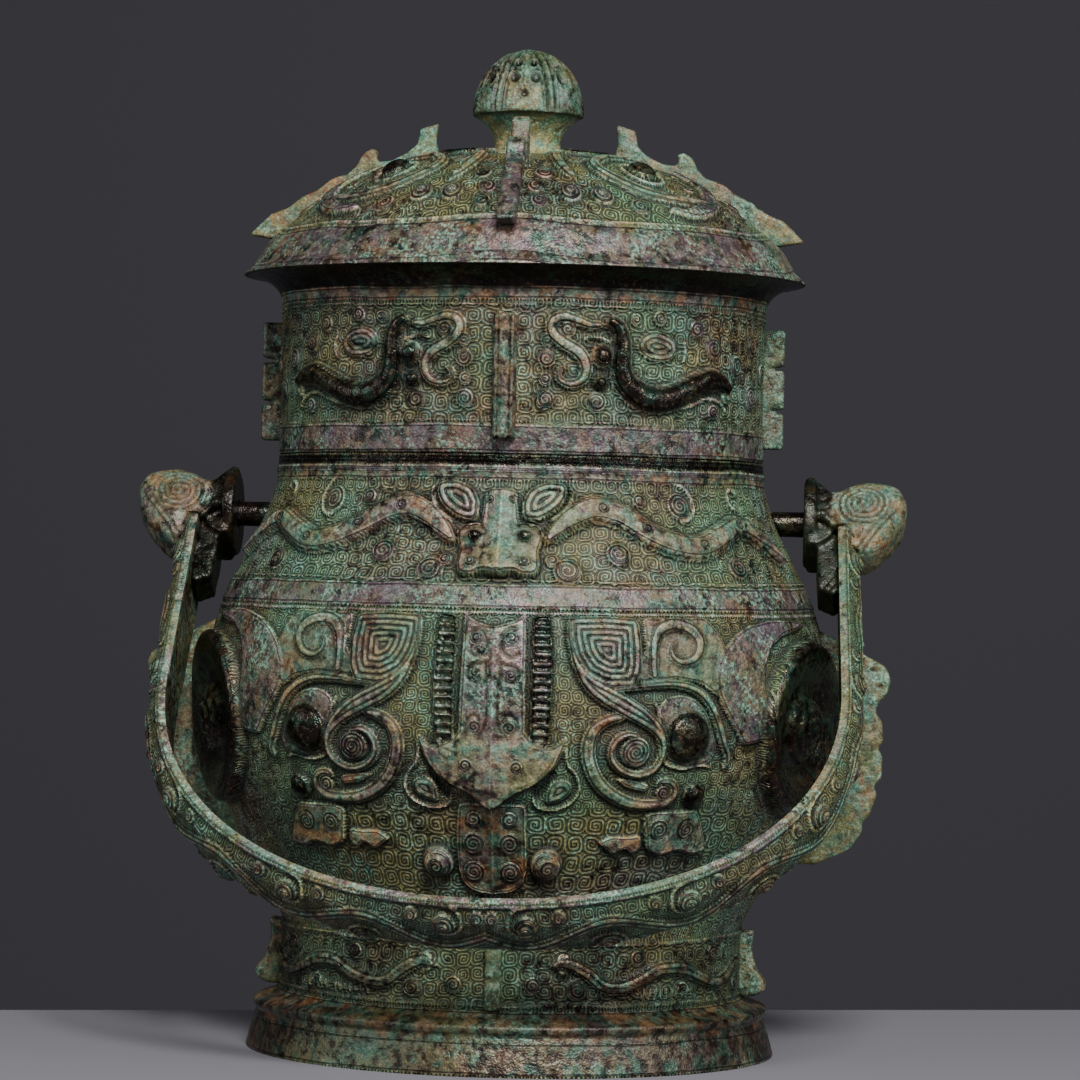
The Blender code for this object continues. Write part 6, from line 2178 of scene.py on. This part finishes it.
def patina() -> bpy.types.NodeTree:
    """Corroded bronze: dark metal, mauve and brown skin, verdigris, rust and pale flecks, with painted shade
    and highlights.
    """
    found = bpy.data.node_groups.get("patina")
    if found:
        return found
    net, given, results = group(
        "patina", {"Vector": ("Place", "Relief", "Depth", "Rim"),
                   "Float": ("Lines", "Verdigris", "Warmth", "Pale")},
        {"Color": ("Color",), "Float": ("Roughness", "Metallic", "Height")},
    )
    colours = Palette()
    place, lines = given["Place"], given["Lines"]
    cover, plain, dark = net.parts(given["Relief"])
    # Recess darkens the colour as painted shade and draws verdigris and rust; edge pales it as wear and
    # brightens it as a painted highlight.
    recess, edge, rust = net.parts(given["Depth"])
    shifted, rate, _ = net.parts(given["Rim"])
    inset = net.math("SUBTRACT", shifted, RIM_SHIFT)
    border = net.close(inset, 1.2, 0.36, 0.14)
    parallel = net.close(net.math("FRACT", net.math("MULTIPLY", inset, rate)), 0.5, 0.20, 0.08)
    inside, pitched = net.step(inset, 0.3, 0.6), net.step(rate, 0.04, 0.12)
    cuts = net.times(net.total((border, 1.0), (pitched, -1.0)), inside)
    cuts = net.total((cuts, 1.0), (net.times(parallel, pitched, inside), 1.0))
    # A painted contact shadow just outside each figure's outline, which also draws verdigris into the crevice
    # there.
    crevice_and_contact_shadow = net.times(net.step(inset, -1.0, -0.2), net.step(inset, 0.40, 0.05))
    # A painted highlight on a thin band just inside each figure's outline.
    painted_rim_highlight = net.times(net.step(inset, 0.10, 0.40), net.step(inset, 0.95, 0.60))
    broad, second, third, mid, small, fine, chips, flakes = (net.noise(place, *scale) for scale in (
        (0.046, 3.0, 1), (0.034, 3.0, 2), (0.019, 3.0, 9), (0.0075, 4.0, 3), (0.0030, 3.0, 4),
        (0.0008, 2.0, 5), (0.0013, 2.0, 6), (0.0015, 3.0, 7)))
    metal = net.mix(net.times(net.step(mid, 0.36, 0.60), net.total((dark, -0.85), offset=1.0)),
                    colours.black, colours.brown)
    metal = net.mix(net.times(net.step(small, 0.42, 0.60), net.total((dark, -0.80), offset=0.62)),
                    metal, colours.stone)
    pale = net.total((plain, 0.44), (edge, 0.25), (net.step(third, 0.45, 0.62), 0.36), (dark, -0.85),
                     (given["Pale"], 1.0), (cover, 0.14), (recess, -0.8), offset=-0.02)
    pale = net.times(pale, net.step(mid, 0.36, 0.58))
    skin = net.mix(pale, metal, colours.mauve)
    bare = net.math("SUBTRACT", 1.0, cover, clamp=True)
    crust = net.total((bare, 0.30), (recess, 0.30), (crevice_and_contact_shadow, 0.25), (given["Verdigris"], 1.0), (plain, -0.10),
                      (dark, -0.30), (net.step(broad, 0.36, 0.62), 0.50), offset=0.10)
    crust = net.times(crust, net.step(net.math("MULTIPLY_ADD", crust, 0.30, small), 0.46, 0.64))
    tint = net.mix(net.step(second, 0.42, 0.62), colours.olive, colours.green)
    tint = net.mix(net.times(net.step(third, 0.50, 0.66), net.step(small, 0.35, 0.60)), tint, colours.teal)
    skin = net.mix(crust, skin, tint)
    warm = net.total((rust, 0.42), (recess, 0.20), (given["Warmth"], 1.0), (dark, -0.4), (cover, 0.26),
                     (net.step(second, 0.50, 0.34), 0.22), offset=-0.10)
    warm = net.times(warm, net.step(net.noise(place, 0.010, 4.0, 8), 0.46, 0.62))
    skin = net.mix(warm, skin, colours.rust)
    cast = net.times(net.step(net.noise(place, 0.0062, 4.0, 11), 0.50, 0.64),
                     net.total((cover, 0.55), (dark, -0.35), (plain, -0.15), offset=0.10))
    skin = net.mix(cast, skin, colours.teal)
    earth = net.times(net.step(flakes, 0.56, 0.68), net.total((edge, 0.15), (given["Warmth"], 0.6),
                                                              (plain, -0.10), offset=0.22))
    skin = net.mix(earth, skin, colours.tan)
    patch = net.step(net.noise(place, 0.015, 3.0, 10), 0.46, 0.60)
    amount = net.total((plain, 0.34), (crust, 0.20), (given["Verdigris"], 0.4), (dark, -0.25), (patch, 0.30),
                       offset=-0.06)
    flecks = net.times(net.step(net.math("MULTIPLY_ADD", patch, 0.09, chips), 0.58, 0.66), amount)
    skin = net.mix(flecks, skin, colours.turquoise)
    grain = net.math("MULTIPLY_ADD", net.step(fine, 0.34, 0.68), net.total((dark, -0.50), offset=0.66), 0.66)
    speckle = net.math("MULTIPLY_ADD", net.step(small, 0.36, 0.62), 0.45, 0.76)
    # Brightness of the colour: grain and speckle, tone shares and cut lines, with painted shade in recesses
    # and outside outlines and painted highlights on edges and inside outlines.
    shade = net.times(grain, net.fade(cover, -0.30), net.fade(plain, -0.26), net.fade(dark, -0.10), speckle,
                      *(net.fade(value, amount) for value, amount in (
                          (lines, -0.75), (recess, -0.78), (edge, 0.55), (cuts, -0.62), (crevice_and_contact_shadow, -0.50),
                          (painted_rim_highlight, 0.35))))
    net.feed(results["Color"], net.vector("SCALE", skin, shade))
    for name, terms, offset in (
        ("Roughness",
         ((crust, 0.20), (dark, -0.16), (flecks, 0.20), (warm, 0.15), (fine, 0.16), (plain, -0.04)), 0.33),
        ("Metallic", ((crust, -0.6), (warm, -0.5), (flecks, -0.6), (dark, 0.25)), 0.50),
        ("Height", ((fine, 0.20), (small, 0.42), (flecks, 0.16), (crust, 0.12), (cuts, -0.40)), 0.5),
    ):
        net.feed(results[name], net.total(*terms, offset=offset))
    return net.tree


@dataclass(frozen=True)
class Finish:
    """One cast bronze finish, which paints shade and highlights from the relief's attributes as well as its
    patina.
    """

    name: str
    verdigris: float = 0.0
    warmth: float = 0.0
    pale: float = 0.0
    line_depth: float = 0.90

    def material(self) -> bpy.types.Material:
        """The finish's material, made once."""
        made = bpy.data.materials.get(self.name)
        if made:
            return made
        made = bpy.data.materials.new(self.name)
        made.use_nodes = True
        made.node_tree.nodes.clear()
        net = Net(made.node_tree)
        place = net.node("ShaderNodeTexCoord").outputs["Object"]
        relief, depth = net.attribute("relief"), net.attribute("depth")
        ground = net.node("ShaderNodeGroup", node_tree=leiwen())
        for name, value in (("Wall", net.attribute("wall")), ("Curl", net.attribute("curl")),
                            ("Relief", relief), ("Place", place)):
            net.feed(ground.inputs[name], value)
        lines = ground.outputs["Lines"]
        skin = net.node("ShaderNodeGroup", node_tree=patina())
        for name, value in (("Place", place), ("Relief", relief), ("Depth", depth), ("Lines", lines),
                            ("Rim", net.attribute("rim")), ("Verdigris", self.verdigris),
                            ("Warmth", self.warmth), ("Pale", self.pale)):
            net.feed(skin.inputs[name], value)
        bump = net.node("ShaderNodeBump")
        bump.inputs["Strength"].default_value = 1.0
        bump.inputs["Distance"].default_value = MM
        net.feed(bump.inputs["Height"],
                 net.math("MULTIPLY_ADD", lines, -self.line_depth, skin.outputs["Height"]))
        shader = net.node("ShaderNodeBsdfPrincipled")
        shader.inputs["IOR"].default_value = 1.5
        for name, source in (("Base Color", "Color"), ("Roughness", "Roughness"), ("Metallic", "Metallic")):
            net.feed(shader.inputs[name], skin.outputs[source])
        net.feed(shader.inputs["Normal"], bump.outputs["Normal"])
        output = net.node("ShaderNodeOutputMaterial")
        net.feed(output.inputs["Surface"], shader.outputs["BSDF"])
        return made


VESSEL_FINISH = Finish("bronze_vessel", verdigris=0.02, warmth=0.05)
LID_FINISH = Finish("bronze_lid", verdigris=0.02, warmth=0.10)
KNOB_FINISH = Finish("bronze_knob", verdigris=0.20, pale=0.12)
FLANGE_FINISH = Finish("bronze_flange", verdigris=0.35, warmth=0.10)
RIB_FINISH = Finish("bronze_rib", verdigris=0.0, warmth=-0.05, pale=0.02)
STRAP_FINISH = Finish("bronze_strap", verdigris=0.20, warmth=0.06)
HEAD_FINISH = Finish("bronze_head", verdigris=0.08, warmth=0.26)


@dataclass
class Studio:
    """A plain pale floor before a plain grey wall, its soft light and the camera."""

    distance: float = 1.50
    azimuth: float = 4.5
    eye: float = 0.187
    roll: float = 1.2
    lens: float = 131.6
    shift: tuple[float, float] = (0.0194, 0.0139)

    def build(self) -> None:
        """Make the floor, the wall, the lights and the camera."""
        self.floor()
        self.lights()
        self.camera()

    def plain(self, name: str, colour: tuple[float, float, float], size: float,
              place: tuple[float, float, float], tilt: float = 0.0, turn: float = 0.0) -> None:
        """A plain matt plane."""
        select_none()
        bpy.ops.mesh.primitive_plane_add(size=size, location=place,
                                         rotation=(math.radians(tilt), 0, math.radians(turn)))
        item = bpy.context.object
        item.name = name
        paint = bpy.data.materials.new(name)
        paint.use_nodes = True
        shader = paint.node_tree.nodes["Principled BSDF"]
        shader.inputs["Base Color"].default_value = (*colour, 1.0)
        shader.inputs["Roughness"].default_value = 0.9
        item.data.materials.append(paint)

    def floor(self) -> None:
        """The floor, which ends a little behind the vessel, and the wall far behind it."""
        self.plain("studio_floor", (0.160, 0.155, 0.178), 2.4, (0.297, -1.033, 0), turn=14.8)
        self.plain("studio_wall", (0.085, 0.082, 0.098), 8.0, (0, 2.6, 0.5), 90.0)

    def lights(self) -> None:
        """A large soft light above the front, a smaller one at each side, and a dim surrounding."""
        for name, place, size, power, colour in (
            ("light_key", (0.34, -1.42, 1.40), 0.60, 59.0, (1.0, 0.98, 0.95)),
            ("light_right", (1.25, -0.80, 0.75), 0.60, 10.0, (0.95, 0.98, 1.0)),
            ("light_left", (-1.30, -0.70, 0.70), 0.60, 6.5, (0.95, 0.98, 1.0)),
        ):
            light = bpy.data.lights.new(name, "AREA")
            light.shape = "SQUARE"
            light.size = size
            light.energy = power
            light.color = colour
            item = bpy.data.objects.new(name, light)
            bpy.context.scene.collection.objects.link(item)
            item.location = place
            aim = Vector((0, AXIS_Y, 0.19)) - Vector(place)
            item.rotation_euler = aim.to_track_quat("-Z", "Y").to_euler()
        world = bpy.context.scene.world or bpy.data.worlds.new("studio")
        bpy.context.scene.world = world
        world.use_nodes = True
        back = world.node_tree.nodes["Background"]
        back.inputs["Color"].default_value = (0.62, 0.63, 0.68, 1.0)
        back.inputs["Strength"].default_value = 0.12

    def camera(self) -> None:
        """The camera, at the place and turn of the photographed view."""
        turn, tip = math.radians(self.azimuth), math.radians(self.roll)
        look = Vector((-math.sin(turn), math.cos(turn), 0))
        right = Vector((math.cos(turn), math.sin(turn), 0))
        up = Vector((0, 0, 1))
        across = right * math.cos(tip) + up * math.sin(tip)
        above = up * math.cos(tip) - right * math.sin(tip)
        place = Vector((0, AXIS_Y, self.eye)) - look * self.distance
        data = bpy.data.cameras.new("camera")
        data.lens = self.lens
        data.sensor_width = 36.0
        data.shift_x, data.shift_y = self.shift
        data.clip_start = 0.05
        item = bpy.data.objects.new("camera", data)
        bpy.context.scene.collection.objects.link(item)
        item.matrix_world = Matrix((
            (across.x, above.x, -look.x, place.x), (across.y, above.y, -look.y, place.y),
            (across.z, above.z, -look.z, place.z), (0, 0, 0, 1),
        ))
        bpy.context.scene.camera = item


def main() -> None:
    """Build the vessel, its lid and its handle, and set up the studio."""
    logging.basicConfig(level=logging.INFO, format="%(name)s: %(message)s")
    Body().build()
    Lid().build()
    Handle().build()
    Studio().build()


if __name__ == "__main__":
    main()
